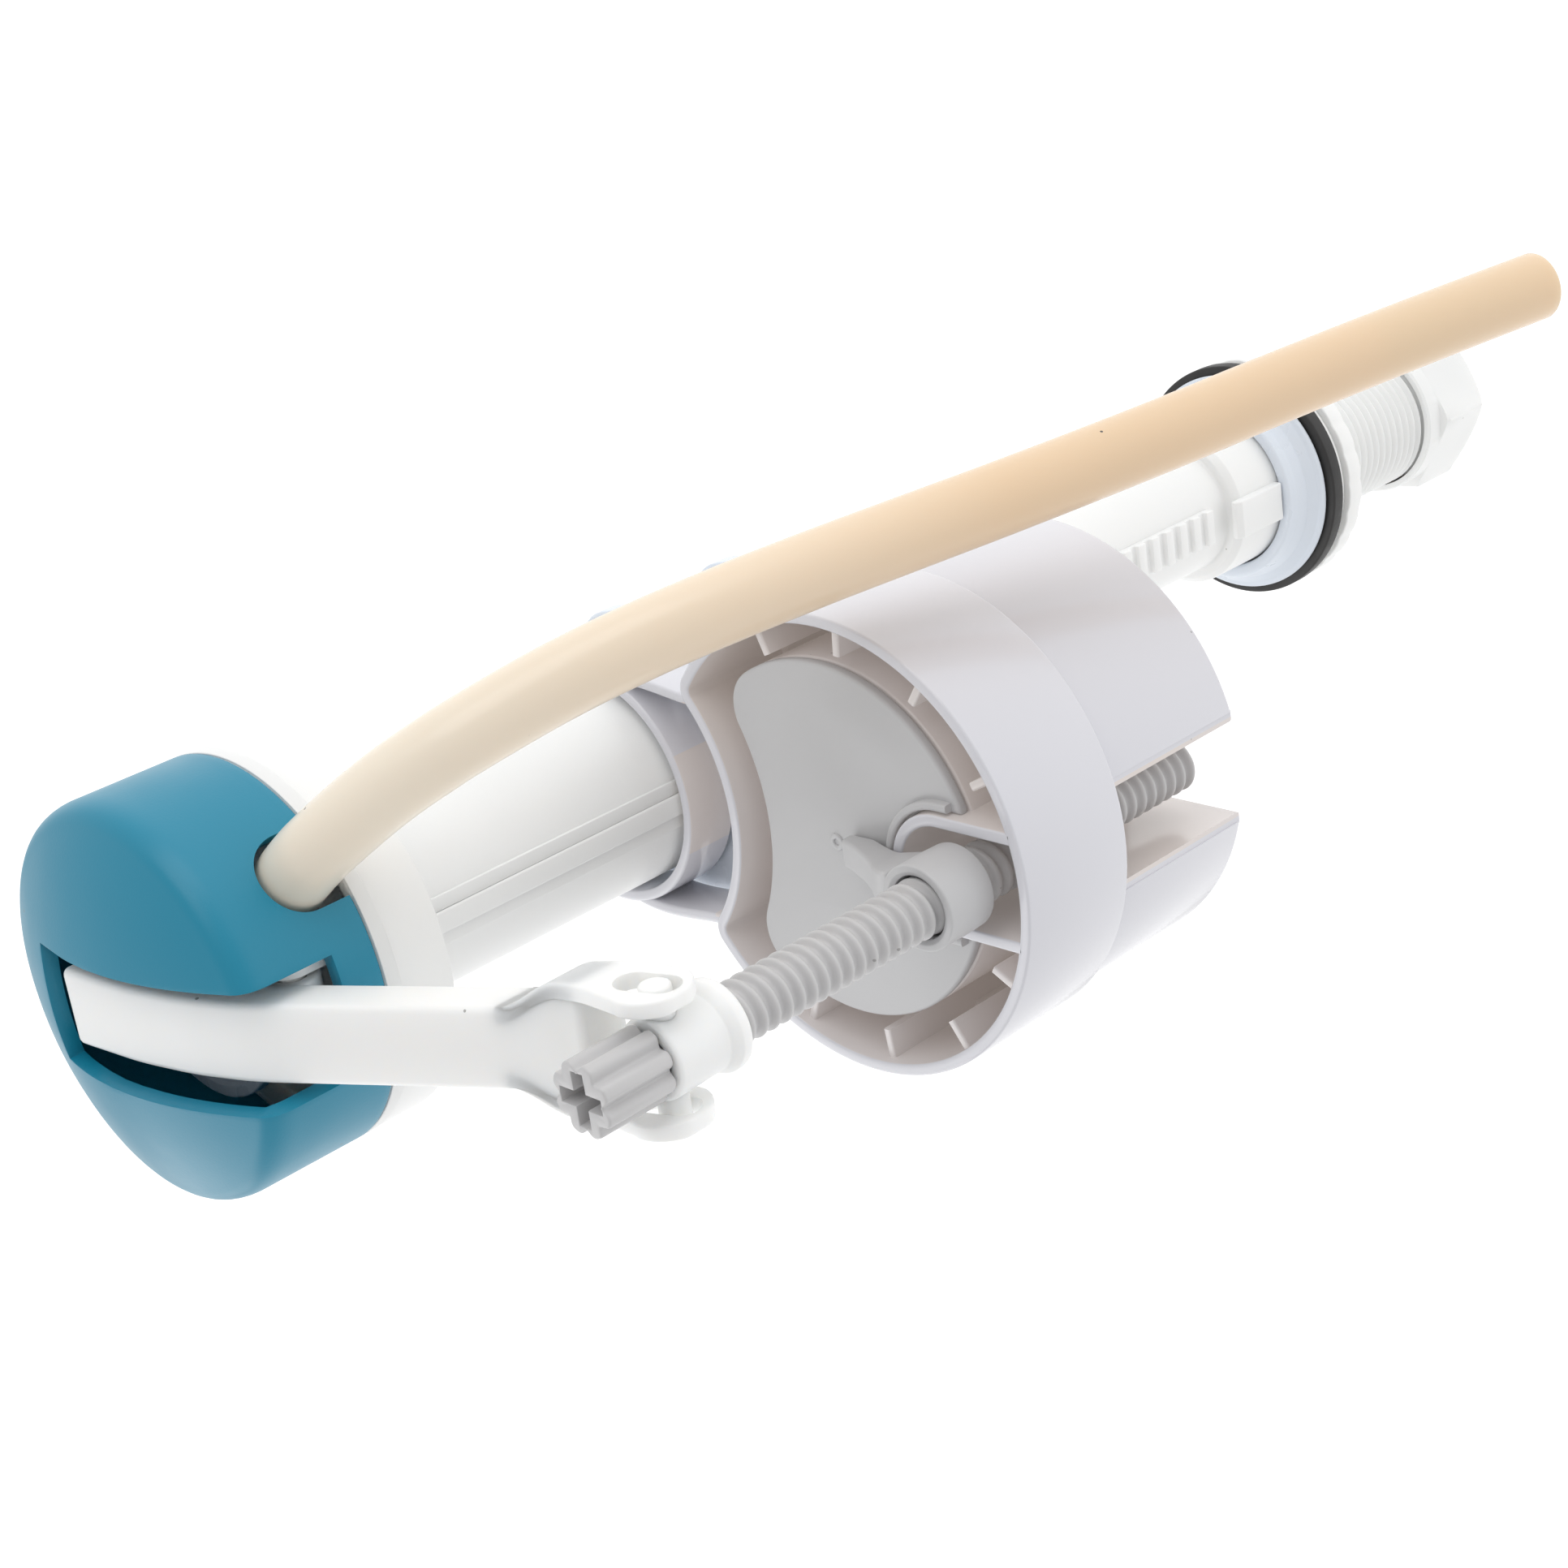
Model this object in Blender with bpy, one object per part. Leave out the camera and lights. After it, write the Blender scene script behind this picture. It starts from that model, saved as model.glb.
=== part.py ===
"""Toilet-tank float valve with an adjustable riser, a side float and a refill hose.

Frame: +Z runs up the riser, z = 0 is the tank floor under the rubber washer, and +X
points from the riser to the float's adjusting rod.  Sizes are in millimetres and are
turned into metres where a mesh is made.
"""
import math

import bmesh
import bpy
from mathutils import Matrix, Vector

MM = 0.001                       # one millimetre in metres
GAP = 0.3                        # space between pieces that rest on or seat in each other
RUN = 0.3                        # running clearance round a turning or sliding piece
BIG, MID, SMALL = 36, 24, 16     # sides of a large, a middling and a small round

# ---- threaded shank, below the tank floor -------------------------------------------
SHANK_R = 11.9                   # over the thread, 15/16 inch
SHANK_ROOT_R = SHANK_R - 1.0
SHANK_PITCH = 1.814              # 14 threads to the inch
SHANK_LENGTH = 39.0
WASHER_R = 19.6
WASHER_T = 2.6
NUT_R = 19.5
NUT_T = 4.0
SLIP_R = 18.6
SLIP_T = 1.4
COUPLING_AF = 2 * SHANK_R + 2.2  # across the flats
COUPLING_TOP = 4.0 - SHANK_LENGTH   # the collar laps the last threads
COUPLING_COLLAR_R = SHANK_R + 1.7
COUPLING_COLLAR_T = 3.5
COUPLING_WALL = 3.0
CONE_T = 7.0
CONE_HOLE_R = 5.2
RING_T = 1.2

# ---- the two tubes that slide in one another ----------------------------------------
RISER_R = 14.3                   # upper riser
RISER_WALL = 1.7
RAIL_H = 1.1                     # notched height rail on the lower riser's +X side
RAIL_PLAY = 1.1                  # from the rail to the upper riser's bore
LOWER_WALL = 2.4
LOWER_R = RISER_R - RISER_WALL - RAIL_PLAY - RAIL_H
LOWER_BORE_R = LOWER_R - LOWER_WALL

# ---- lower riser --------------------------------------------------------------------
LOWER_TOP = 155.0
SLEEVE_R = 12.8                  # thick foot above the flange
SLEEVE_TOP = 19.0
FLANGE_R = 15.5
FLANGE_T = 1.7
SKIRT_R = 18.3
SKIRT_H = 5.7
RAIL_W = 5.6
NOTCH_PITCH = 3.5
RAIL_Z = (24.0, LOWER_TOP - 9.0)

# ---- upper riser --------------------------------------------------------------------
RISER_BOTTOM = 116.0
GUIDE_RIB_H = 0.7
GUIDE_RIB_W = 3.0
END_FLANGE_H = 1.7
END_FLANGE_T = 2.5
LOCK_R = RISER_R + 7.7
LOCK_WAIST_R = RISER_R + 4.2
LOCK_Z = (112.2, 137.5)
LOCK_LIP_T = 3.5
INLET_PLAY = 1.6                 # from the lower riser's bore to the inlet tube
INLET_WALL = 1.4
INLET_R = LOWER_BORE_R - INLET_PLAY
INLET_BORE_R = INLET_R - INLET_WALL
INLET_BOTTOM = 85.0
ORING_SECTION_R = 0.7

# ---- head ---------------------------------------------------------------------------
HEAD_BOTTOM = 194.1
CAP_BOTTOM = 204.0
CAP_R = 26.0
CAP_WALL = 2.0
CAP_SIDE_TOP = 221.3
CAP_TOP = 228.1
HEAD_R = CAP_R - 0.1
HEAD_WALL = 2.0
DECK_Z = (198.0, 200.4)
NOZZLE_R = 8.5
SEAT_Z = 206.0
CHAMBER_R = 15.0
CHAMBER_WALL = 1.8
CHAMBER_TOP = 210.2
OUTLET_HOLES = 6
OUTLET_R = 1.6
DIAPHRAGM_T = 1.2
BONNET_T = 2.0
PILOT_X = 4.0
PILOT_R = 1.9
PILOT_TRAVEL = 2.0
NIPPLE_AZIMUTH = math.radians(41.0)
NIPPLE_Z = 208.2
NIPPLE_R = 3.4
NIPPLE_BORE_R = 2.2
NIPPLE_END = CHAMBER_R + 7.0     # distance of its end from the riser's axis
HOSE_R = 4.5
NOTCH_R = HOSE_R + 1.0           # round top of the cap's notch over the hose

# ---- lever and adjusting rod --------------------------------------------------------
PIVOT = (19.5, 212.0)            # x and z of the lever's pin
PIN_R = 1.5
LEVER_W = 10.3
POST_T = 1.9
POST_GAP = 0.6
BOSS_R = 3.2
SLOT_W = LEVER_W + 5.5           # the cap's slot for the lever
SLOT_BACK = -12.0
UNDERSIDE = ((20.0, 213.9), (47.0, 199.4))   # x and z of the bar's lower edge beyond the pin
UNDER_SLOPE = (UNDERSIDE[1][1] - UNDERSIDE[0][1]) / (UNDERSIDE[1][0] - UNDERSIDE[0][0])
SLOT_SILL = UNDERSIDE[0][1] + UNDER_SLOPE * (CAP_R - UNDERSIDE[0][0]) - 1.28
ROD_X = 65.6
TRUNNION_Z = 196.0
TRUNNION_R = 1.9
NECK_R = 2.6
BARREL_R = NECK_R + 2.4
BARREL_Z = (187.8, 198.2)
EAR_Y = (LEVER_W / 2 + 1.35, LEVER_W / 2 + 3.35)
EAR_R = 5.0
KNOB_R = 4.6
KNOB_H = 10.0
KNOB_FLUTES = 8
THREAD_R = 3.8
THREAD_ROOT_R = THREAD_R - 0.8
THREAD_PITCH = 2.0
ROD_BOTTOM = 105.0

# ---- float --------------------------------------------------------------------------
FLOAT_X = 44.5                   # centre of the float's round back
FLOAT_R = 31.2
FLOAT_HOLLOW_R = LOCK_R + 2.8    # its hollow side, an arc about the riser's axis
FLOAT_CORNER_R = 3.0
FLOAT_Z = (103.0, 146.5)
COLLAR_H = 18.7
BODY_INSET = 1.0
FLOAT_WALL = 1.6
FLOOR_T = 2.0
LID_X = FLOAT_X - 2.1
LID_R = FLOAT_R - 7.1
LID_HOLLOW_R = FLOAT_HOLLOW_R + 5.7
LID_CORNER_R = 6.0
LID_TOP = FLOAT_Z[1] - 1.5
LID_T = 1.5
CHANNEL_X = ROD_X - 3.8          # centre of the rod channel's round end
CHANNEL_R = THREAD_R + 2.5
GUIDE_R = RISER_R + 1.2          # ring that keeps the float straight on the riser
GUIDE_WALL = 1.5
GUIDE_H = 8.0
GUIDE_HALF_ANGLE = math.radians(115.0)
RIB_AZIMUTHS = (-112, -84, -56, -28, 28, 56, 84, 112)   # about the float's centre
HOLLOW_RIB_AZIMUTHS = (-10, 10)                         # about the riser's axis
RIB_T = 1.2
RIB_DROP = 1.5
CLIP_R = THREAD_R + 2.6
CLIP_Z = (FLOAT_Z[1] + 0.7, FLOAT_Z[1] + 8.5)

# ---- refill hose, points of its centre line -----------------------------------------
HOSE_ROUTE = (
    (16.83, 14.63, 208.20), (18.87, 16.40, 208.15), (22.6, 19.7, 207.2), (27.7, 24.0, 204.6),
    (31.8, 27.4, 201.6), (35.4, 30.1, 198.1), (38.6, 32.4, 194.2), (43.8, 35.9, 185.5),
    (48.2, 38.3, 175.7), (51.9, 39.8, 165.0), (55.3, 40.8, 153.4), (58.5, 41.5, 141.2),
    (61.6, 42.1, 128.5), (64.7, 42.8, 115.2), (68.0, 43.7, 101.5), (71.2, 44.7, 87.3),
    (74.6, 45.7, 72.6), (78.2, 46.6, 57.3), (81.9, 47.4, 41.3))
HOSE_STEP = 13.0                 # distance between the tube's own points


# ======================================================================== tools ======
def clear_scene():
    for old in list(bpy.data.objects):
        bpy.data.objects.remove(old, do_unlink=True)


def plastic(name, colour, roughness, metallic=0.0):
    """A Principled material of one colour."""
    made = bpy.data.materials.new(name)
    made.use_nodes = True
    shader = made.node_tree.nodes["Principled BSDF"]
    shader.inputs["Base Color"].default_value = (*colour, 1.0)
    shader.inputs["Roughness"].default_value = roughness
    shader.inputs["Metallic"].default_value = metallic
    return made


def object_from(name, points, faces, material=None):
    """A closed mesh from millimetre points, with its faces turned outwards."""
    mesh = bpy.data.meshes.new(name)
    mesh.from_pydata([[MM * value for value in point] for point in points], [], faces)
    shape = bmesh.new()
    shape.from_mesh(mesh)
    bmesh.ops.remove_doubles(shape, verts=shape.verts, dist=1e-7)
    bmesh.ops.dissolve_degenerate(shape, edges=shape.edges, dist=1e-8)
    bmesh.ops.recalc_face_normals(shape, faces=shape.faces)
    shape.to_mesh(mesh)
    shape.free()
    made = bpy.data.objects.new(name, mesh)
    if material:
        mesh.materials.append(material)
    bpy.context.collection.objects.link(made)
    return made


def turned(name, section, sides, material=None):
    """Turn a closed (radius, height) section round Z; a radius of 0 is a point on the axis."""
    points, rings, faces = [], [], []
    for radius, height in section:
        if radius < 1e-9:
            rings.append([len(points)] * sides)
            points.append((0.0, 0.0, height))
            continue
        rings.append(list(range(len(points), len(points) + sides)))
        for side in range(sides):
            angle = 2 * math.pi * side / sides
            points.append((radius * math.cos(angle), radius * math.sin(angle), height))
    closing = zip(rings, rings[1:] + rings[:1])
    for one, two in closing:
        for side in range(sides):
            after = (side + 1) % sides
            loop = []
            for corner in (one[side], one[after], two[after], two[side]):
                if corner not in loop:
                    loop.append(corner)
            if len(loop) > 2:
                faces.append(loop)
    return object_from(name, points, faces, material)


def prism(name, outline, low, high, material=None):
    """Push a closed outline in the XY plane from one height to another."""
    count = len(outline)
    points = [(x, y, low) for x, y in outline] + [(x, y, high) for x, y in outline]
    faces = [list(range(count))[::-1], list(range(count, 2 * count))]
    for start in range(count):
        after = (start + 1) % count
        faces.append([start, after, after + count, start + count])
    return object_from(name, points, faces, material)


def side_plate(name, outline, low, high, material=None):
    """Push a closed outline in the XZ plane from one y to another."""
    plate = prism(name, outline, low, high, material)
    for vertex in plate.data.vertices:
        x, z, y = vertex.co
        vertex.co = (x, y, z)
    face_outwards(plate)
    return plate


def box(name, low, high):
    """A block between two corners."""
    outline = [(low[0], low[1]), (high[0], low[1]), (high[0], high[1]), (low[0], high[1])]
    return prism(name, outline, low[2], high[2])


def rod(name, centre, radius, low, high, direction, sides=SMALL):
    """A round bar through centre, from low to high along a direction."""
    circle = [(radius * math.cos(2 * math.pi * side / sides), radius * math.sin(2 * math.pi * side / sides))
              for side in range(sides)]
    bar = prism(name, circle, low, high)
    turn = Vector((0, 0, 1)).rotation_difference(Vector(direction)).to_matrix().to_4x4()
    bar.data.transform(Matrix.Translation(Vector(centre) * MM) @ turn)
    return bar


def face_outwards(piece):
    shape = bmesh.new()
    shape.from_mesh(piece.data)
    bmesh.ops.recalc_face_normals(shape, faces=shape.faces)
    shape.to_mesh(piece.data)
    shape.free()


def combine(piece, tool, operation):
    """Boolean a tool into a piece and use the tool up."""
    step = piece.modifiers.new(operation, "BOOLEAN")
    step.operation = operation
    step.solver = "EXACT"
    step.object = tool
    bpy.context.view_layer.update()
    evaluated = piece.evaluated_get(bpy.context.evaluated_depsgraph_get())
    result = bpy.data.meshes.new_from_object(evaluated)
    piece.modifiers.clear()
    piece.data = result
    bpy.data.objects.remove(tool, do_unlink=True)
    return piece


def add(piece, tool):
    return combine(piece, tool, "UNION")


def cut(piece, tool):
    return combine(piece, tool, "DIFFERENCE")


def finish(piece, sharp=30.0):
    """Merge stray doubles and shade the round faces smooth."""
    shape = bmesh.new()
    shape.from_mesh(piece.data)
    bmesh.ops.remove_doubles(shape, verts=shape.verts, dist=2e-6)
    bmesh.ops.triangulate(shape, faces=shape.faces)
    shape.to_mesh(piece.data)
    shape.free()
    piece.data.shade_smooth()
    piece.data.set_sharp_from_angle(angle=math.radians(sharp))
    return piece


def arc(centre, radius, start, end, steps):
    """Points of a circle's arc, both ends included."""
    return [(centre[0] + radius * math.cos(start + (end - start) * step / steps),
             centre[1] + radius * math.sin(start + (end - start) * step / steps))
            for step in range(steps + 1)]


def bean(back_x, back_r, hollow_r, corner_r, steps=22):
    """Outline of a circle about (back_x, 0) bitten by a circle about the origin, corners rounded.

    A corner circle touches both: it lies corner_r inside the back and outside the hollow.
    """
    reach_back, reach_hollow = back_r - corner_r, hollow_r + corner_r
    x = (reach_hollow ** 2 - reach_back ** 2 + back_x ** 2) / (2 * back_x)
    y = math.sqrt(reach_hollow ** 2 - x ** 2)
    back_angle = math.atan2(y, x - back_x)
    hollow_angle = math.atan2(y, x)
    outline = arc((back_x, 0), back_r, -back_angle, back_angle, steps)
    outline += arc((x, y), corner_r, back_angle, hollow_angle + math.pi, 5)[1:]
    outline += arc((0, 0), hollow_r, hollow_angle, -hollow_angle, 12)[1:]
    outline += arc((x, -y), corner_r, -hollow_angle - math.pi, -back_angle, 5)[1:-1]
    return outline


def channel(half_width, far_x):
    """U outline of the rod's channel, its round end towards the riser."""
    return [(far_x, -half_width), (far_x, half_width)] + arc(
        (CHANNEL_X, 0), half_width, math.pi / 2, 3 * math.pi / 2, 12)


def threaded_bar(name, root_r, crest_r, pitch, low, high, steps):
    """A bar with one V thread: a strip of root and crest points winds up it.

    Heights past either end are held at the end, which leaves a flat face there.
    """
    profile = ((root_r, 0.0), (crest_r, 0.5))
    width = len(profile)
    last = math.ceil((high - low) / pitch * steps) + 2 * steps
    points, faces = [], []
    for row in range(last + 1):
        angle = 2 * math.pi * row / steps
        for radius, share in profile:
            height = min(max(low + pitch * (row / steps - 1 + share), low), high)
            points.append((radius * math.cos(angle), radius * math.sin(angle), height))
    for row in range(last - steps):
        here, there = width * row, width * (row + 1)
        above, above_next = here + width * steps, there + width * steps
        faces.append([here, there, there + 1, here + 1])
        faces.append([here + 1, there + 1, above_next, above])
    low_centre, high_centre = len(points), len(points) + 1
    points += [(0.0, 0.0, low), (0.0, 0.0, high)]
    for row in range(steps):
        top = width * (last - steps + row)
        faces.append([low_centre, width * (row + 1), width * row])
        faces.append([high_centre, top, top + width])
    return object_from(name, points, faces)


def smooth_route(route, step, lead):
    """Points at equal steps along a Catmull-Rom curve through the route, after a short lead."""
    knots = [Vector(point) for point in route]
    knots = [2 * knots[0] - knots[1]] + knots + [2 * knots[-1] - knots[-2]]
    dense = []
    for index in range(1, len(knots) - 2):
        before, start, end, after = knots[index - 1:index + 3]
        for part in range(20):
            t = part / 20
            dense.append(0.5 * (2 * start + (end - before) * t
                                + (2 * before - 5 * start + 4 * end - after) * t ** 2
                                + (3 * start - before - 3 * end + after) * t ** 3))
    dense.append(knots[-2])
    lengths = [0.0]
    for one, two in zip(dense, dense[1:]):
        lengths.append(lengths[-1] + (two - one).length)
    count = round((lengths[-1] - lead) / step)
    wanted = [0.0] + [lead + (lengths[-1] - lead) * part / count for part in range(count + 1)]
    chosen = []
    for distance in wanted:
        index = min(max(sum(1 for length in lengths if length <= distance) - 1, 0), len(dense) - 2)
        share = (distance - lengths[index]) / (lengths[index + 1] - lengths[index])
        chosen.append(dense[index].lerp(dense[index + 1], min(share, 1.0)))
    return chosen


def parent_to_axis(name, place, pieces):
    """Put an empty on a joint's axis and hang the moving pieces on it."""
    axis = bpy.data.objects.new(name, None)
    axis.empty_display_size = 0.01
    axis.location = Vector(place) * MM
    bpy.context.collection.objects.link(axis)
    bpy.context.view_layer.update()
    for piece in pieces:
        piece.parent = axis
        piece.matrix_parent_inverse = axis.matrix_world.inverted()


clear_scene()
WHITE = plastic("white_acetal", (0.86, 0.87, 0.86), 0.38)
COOL_WHITE = plastic("cool_white_plastic", (0.74, 0.79, 0.86), 0.35)
FLOAT_GREY = plastic("pale_float_plastic", (0.72, 0.72, 0.76), 0.25)
LID_GREY = plastic("lid_plastic", (0.66, 0.67, 0.67), 0.45)
CLEAR_WHITE = plastic("natural_plastic", (0.88, 0.89, 0.88), 0.40)
TEAL = plastic("teal_plastic", (0.02, 0.30, 0.42), 0.42)
BLACK_RUBBER = plastic("black_rubber", (0.02, 0.02, 0.02), 0.60)
CREAM = plastic("cream_vinyl", (0.86, 0.68, 0.48), 0.35)

# ============================================================ lower riser and shank ===
SHANK_END = -SHANK_LENGTH
FLANGE_BOTTOM = WASHER_T + GAP
SLIDE_BORE_R = SHANK_R + RUN

lower_riser = turned("lower_riser", [
    (SHANK_ROOT_R - 0.9, SHANK_END), (SHANK_ROOT_R - 0.9, FLANGE_BOTTOM), (FLANGE_R, FLANGE_BOTTOM),
    (FLANGE_R, FLANGE_BOTTOM + FLANGE_T), (SLEEVE_R, FLANGE_BOTTOM + FLANGE_T),
    (SLEEVE_R, SLEEVE_TOP - 1.0), (SLEEVE_R - 1.0, SLEEVE_TOP), (LOWER_R, SLEEVE_TOP),
    (LOWER_R, LOWER_TOP - 0.6), (LOWER_R - 0.6, LOWER_TOP), (LOWER_BORE_R + 0.8, LOWER_TOP),
    (LOWER_BORE_R, LOWER_TOP - 0.8), (LOWER_BORE_R, SHANK_END)], MID, WHITE)
shank_thread = threaded_bar("shank_thread", SHANK_ROOT_R, SHANK_R, SHANK_PITCH,
                            SHANK_END + 0.5, FLANGE_BOTTOM + 0.5, 10)
cut(shank_thread, rod("shank_bore", (0, 0, 0), LOWER_BORE_R + 1.2, SHANK_END - 5, FLANGE_BOTTOM + 5, (0,
                                                                                                      0,
                                                                                                      1),
                                                                                                      MID))
add(lower_riser, shank_thread)

# The rail: teeth stand RAIL_H above the tube, notches go half as deep.
tooth = NOTCH_PITCH / 2
rail_outline = [(LOWER_R - 0.6, RAIL_Z[0])]
notches = int((RAIL_Z[1] - RAIL_Z[0]) / NOTCH_PITCH)
for notch in range(notches):
    foot = RAIL_Z[0] + notch * NOTCH_PITCH
    rail_outline += [(LOWER_R + RAIL_H, foot), (LOWER_R + RAIL_H, foot + tooth),
                     (LOWER_R + 0.3 * RAIL_H, foot + tooth), (LOWER_R + 0.3 * RAIL_H, foot + NOTCH_PITCH)]
rail_outline.append((LOWER_R - 0.6, rail_outline[-1][1]))
add(lower_riser, side_plate("rail", rail_outline, -RAIL_W / 2, RAIL_W / 2))
finish(lower_riser)

# Skirt: a cool-white ring seated on the flange, flared over the rubber washer.
SKIRT_BORE_R = SLEEVE_R + GAP
SKIRT_SEAT = FLANGE_BOTTOM + FLANGE_T + GAP
flange_skirt = finish(turned("flange_skirt", [
    (SKIRT_BORE_R, SKIRT_SEAT), (FLANGE_R + GAP, SKIRT_SEAT), (FLANGE_R + GAP, FLANGE_BOTTOM),
    (SKIRT_R, FLANGE_BOTTOM), (SKIRT_R, FLANGE_BOTTOM + 0.6),
    (SKIRT_R - 1.6, FLANGE_BOTTOM + 1.3), (SKIRT_R - 3.0, FLANGE_BOTTOM + 2.8),
    (SKIRT_BORE_R + 1.2, FLANGE_BOTTOM + SKIRT_H), (SKIRT_BORE_R, FLANGE_BOTTOM + SKIRT_H)], BIG,
    COOL_WHITE))

shank_washer = finish(turned("shank_washer", [
    (SLIDE_BORE_R, 0), (WASHER_R - 0.4, 0), (WASHER_R, 0.4), (WASHER_R, WASHER_T - 0.4),
    (WASHER_R - 0.4, WASHER_T), (SLIDE_BORE_R, WASHER_T)], BIG, BLACK_RUBBER))

# Strainer: a cup pressed into the shank's mouth, open below, slotted round its side.
PLUG_R = LOWER_BORE_R - GAP
SCREEN_Z = (SHANK_END + 1.0, SHANK_END + 15.0)
inlet_screen = turned("inlet_screen", [
    (0, SCREEN_Z[1]), (PLUG_R - 1.5, SCREEN_Z[1]), (PLUG_R - 0.6, SCREEN_Z[0] + 3.0), (PLUG_R,
                                                                                       SCREEN_Z[0] + 3.0),
    (PLUG_R, SCREEN_Z[0]), (PLUG_R - 1.8, SCREEN_Z[0]), (PLUG_R - 1.8, SCREEN_Z[0] + 3.0),
    (PLUG_R - 2.6, SCREEN_Z[1] - 1.2), (0, SCREEN_Z[1] - 1.2)], SMALL, WHITE)
for slot in range(3):
    angle = math.pi * slot / 3
    across = box("screen_slot", (-20, -0.7, SCREEN_Z[0] + 4.5), (20, 0.7, SCREEN_Z[1] - 2.5))
    across.data.transform(Matrix.Rotation(angle, 4, "Z"))
    cut(inlet_screen, across)
finish(inlet_screen)

RESTRICTOR_Z = (-16.0, -12.0)
flow_restrictor = finish(turned("flow_restrictor", [
    (2.5, RESTRICTOR_Z[0]), (PLUG_R, RESTRICTOR_Z[0]), (PLUG_R, RESTRICTOR_Z[1]), (4.5, RESTRICTOR_Z[1]),
    (2.5, RESTRICTOR_Z[0] + 1.5)], SMALL, BLACK_RUBBER))

# ============================================================== nuts under the tank ===
SLIP_TOP = -GAP
NUT_TOP = SLIP_TOP - SLIP_T - GAP
slip_washer = finish(turned("slip_washer", [
    (SLIDE_BORE_R, SLIP_TOP - SLIP_T), (SLIP_R, SLIP_TOP - SLIP_T), (SLIP_R, SLIP_TOP),
    (SLIDE_BORE_R, SLIP_TOP)], BIG, WHITE))
lock_nut = finish(turned("lock_nut", [
    (SLIDE_BORE_R, NUT_TOP - NUT_T), (NUT_R - 0.6, NUT_TOP - NUT_T), (NUT_R, NUT_TOP - NUT_T + 0.6),
    (NUT_R, NUT_TOP - 0.4), (NUT_R - 0.4, NUT_TOP), (SLIDE_BORE_R, NUT_TOP)], BIG, WHITE))

# Coupling nut: round collar, hex body, and an end wall that carries the washers inside.
CONE_TOP = SHANK_END - GAP
CONE_BOTTOM = CONE_TOP - CONE_T
RING_TOP = CONE_BOTTOM - GAP
RING_BOTTOM = RING_TOP - RING_T
NUT_FLOOR = RING_BOTTOM - GAP
COUPLING_BOTTOM = NUT_FLOOR - COUPLING_WALL
SUPPLY_HOLE_R = 8.3
hex_corner = COUPLING_AF / 2 / math.cos(math.pi / 6)
hexagon = arc((0, 0), hex_corner, 0, 2 * math.pi, 6)[:-1]
coupling_nut = prism("coupling_nut", hexagon, COUPLING_BOTTOM, COUPLING_TOP - COUPLING_COLLAR_T, WHITE)
chamfer = turned("chamfer", [
    (0, COUPLING_BOTTOM), (COUPLING_AF / 2 - 0.2, COUPLING_BOTTOM), (hex_corner + 0.1,
                                                                     COUPLING_BOTTOM + 1.5),
    (hex_corner + 0.1, COUPLING_TOP - 2), (0, COUPLING_TOP - 2)], MID)
combine(coupling_nut, chamfer, "INTERSECT")
add(coupling_nut, rod("collar", (0, 0, 0), COUPLING_COLLAR_R, COUPLING_TOP - COUPLING_COLLAR_T - 1,
                      COUPLING_TOP,
                      (0, 0, 1), MID))
cut(coupling_nut, rod("nut_bore", (0, 0, 0), SLIDE_BORE_R, NUT_FLOOR, COUPLING_TOP + 5, (0, 0, 1), MID))
cut(coupling_nut, rod("supply_hole", (0, 0, 0), SUPPLY_HOLE_R, COUPLING_BOTTOM - 5, NUT_FLOOR + 5, (0, 0,
                                                                                                    1),
                                                                                                    MID))
finish(coupling_nut)

CONE_R = SLIDE_BORE_R - RUN
cone_washer = finish(turned("cone_washer", [
    (CONE_HOLE_R, CONE_BOTTOM), (CONE_R, CONE_BOTTOM), (CONE_R, CONE_BOTTOM + 2.5), (CONE_HOLE_R + 2.2,
                                                                                     CONE_TOP),
    (CONE_HOLE_R, CONE_TOP)], MID, BLACK_RUBBER))
friction_ring = finish(turned("friction_ring", [
    (7.0, RING_BOTTOM), (CONE_R, RING_BOTTOM), (CONE_R, RING_TOP), (7.0, RING_TOP)], MID, WHITE))

# ======================================================================= upper riser ==
RISER_BORE_R = RISER_R - RISER_WALL
GASKET_T = 1.4
GASKET_TOP = DECK_Z[0] - GAP
RISER_TOP = GASKET_TOP - GASKET_T - GAP
riser_tube = turned("riser_tube", [
    (RISER_BORE_R, RISER_BOTTOM), (RISER_R + END_FLANGE_H, RISER_BOTTOM),
    (RISER_R + END_FLANGE_H, RISER_BOTTOM + END_FLANGE_T), (RISER_R, RISER_BOTTOM + END_FLANGE_T),
    (RISER_R, RISER_TOP), (RISER_BORE_R, RISER_TOP)], BIG, WHITE)
add(riser_tube, box("guide_rib", (RISER_R - 0.6, -GUIDE_RIB_W / 2, LOCK_Z[1] + 1.5),
                    (RISER_R + GUIDE_RIB_H, GUIDE_RIB_W / 2, HEAD_BOTTOM - GAP)))
finish(riser_tube)
riser_gasket = finish(turned("riser_gasket", [
    (RISER_BORE_R + 0.1, GASKET_TOP - GASKET_T), (RISER_R - 0.1, GASKET_TOP - GASKET_T),
    (RISER_R - 0.1, GASKET_TOP), (RISER_BORE_R + 0.1, GASKET_TOP)], MID, BLACK_RUBBER))

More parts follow.
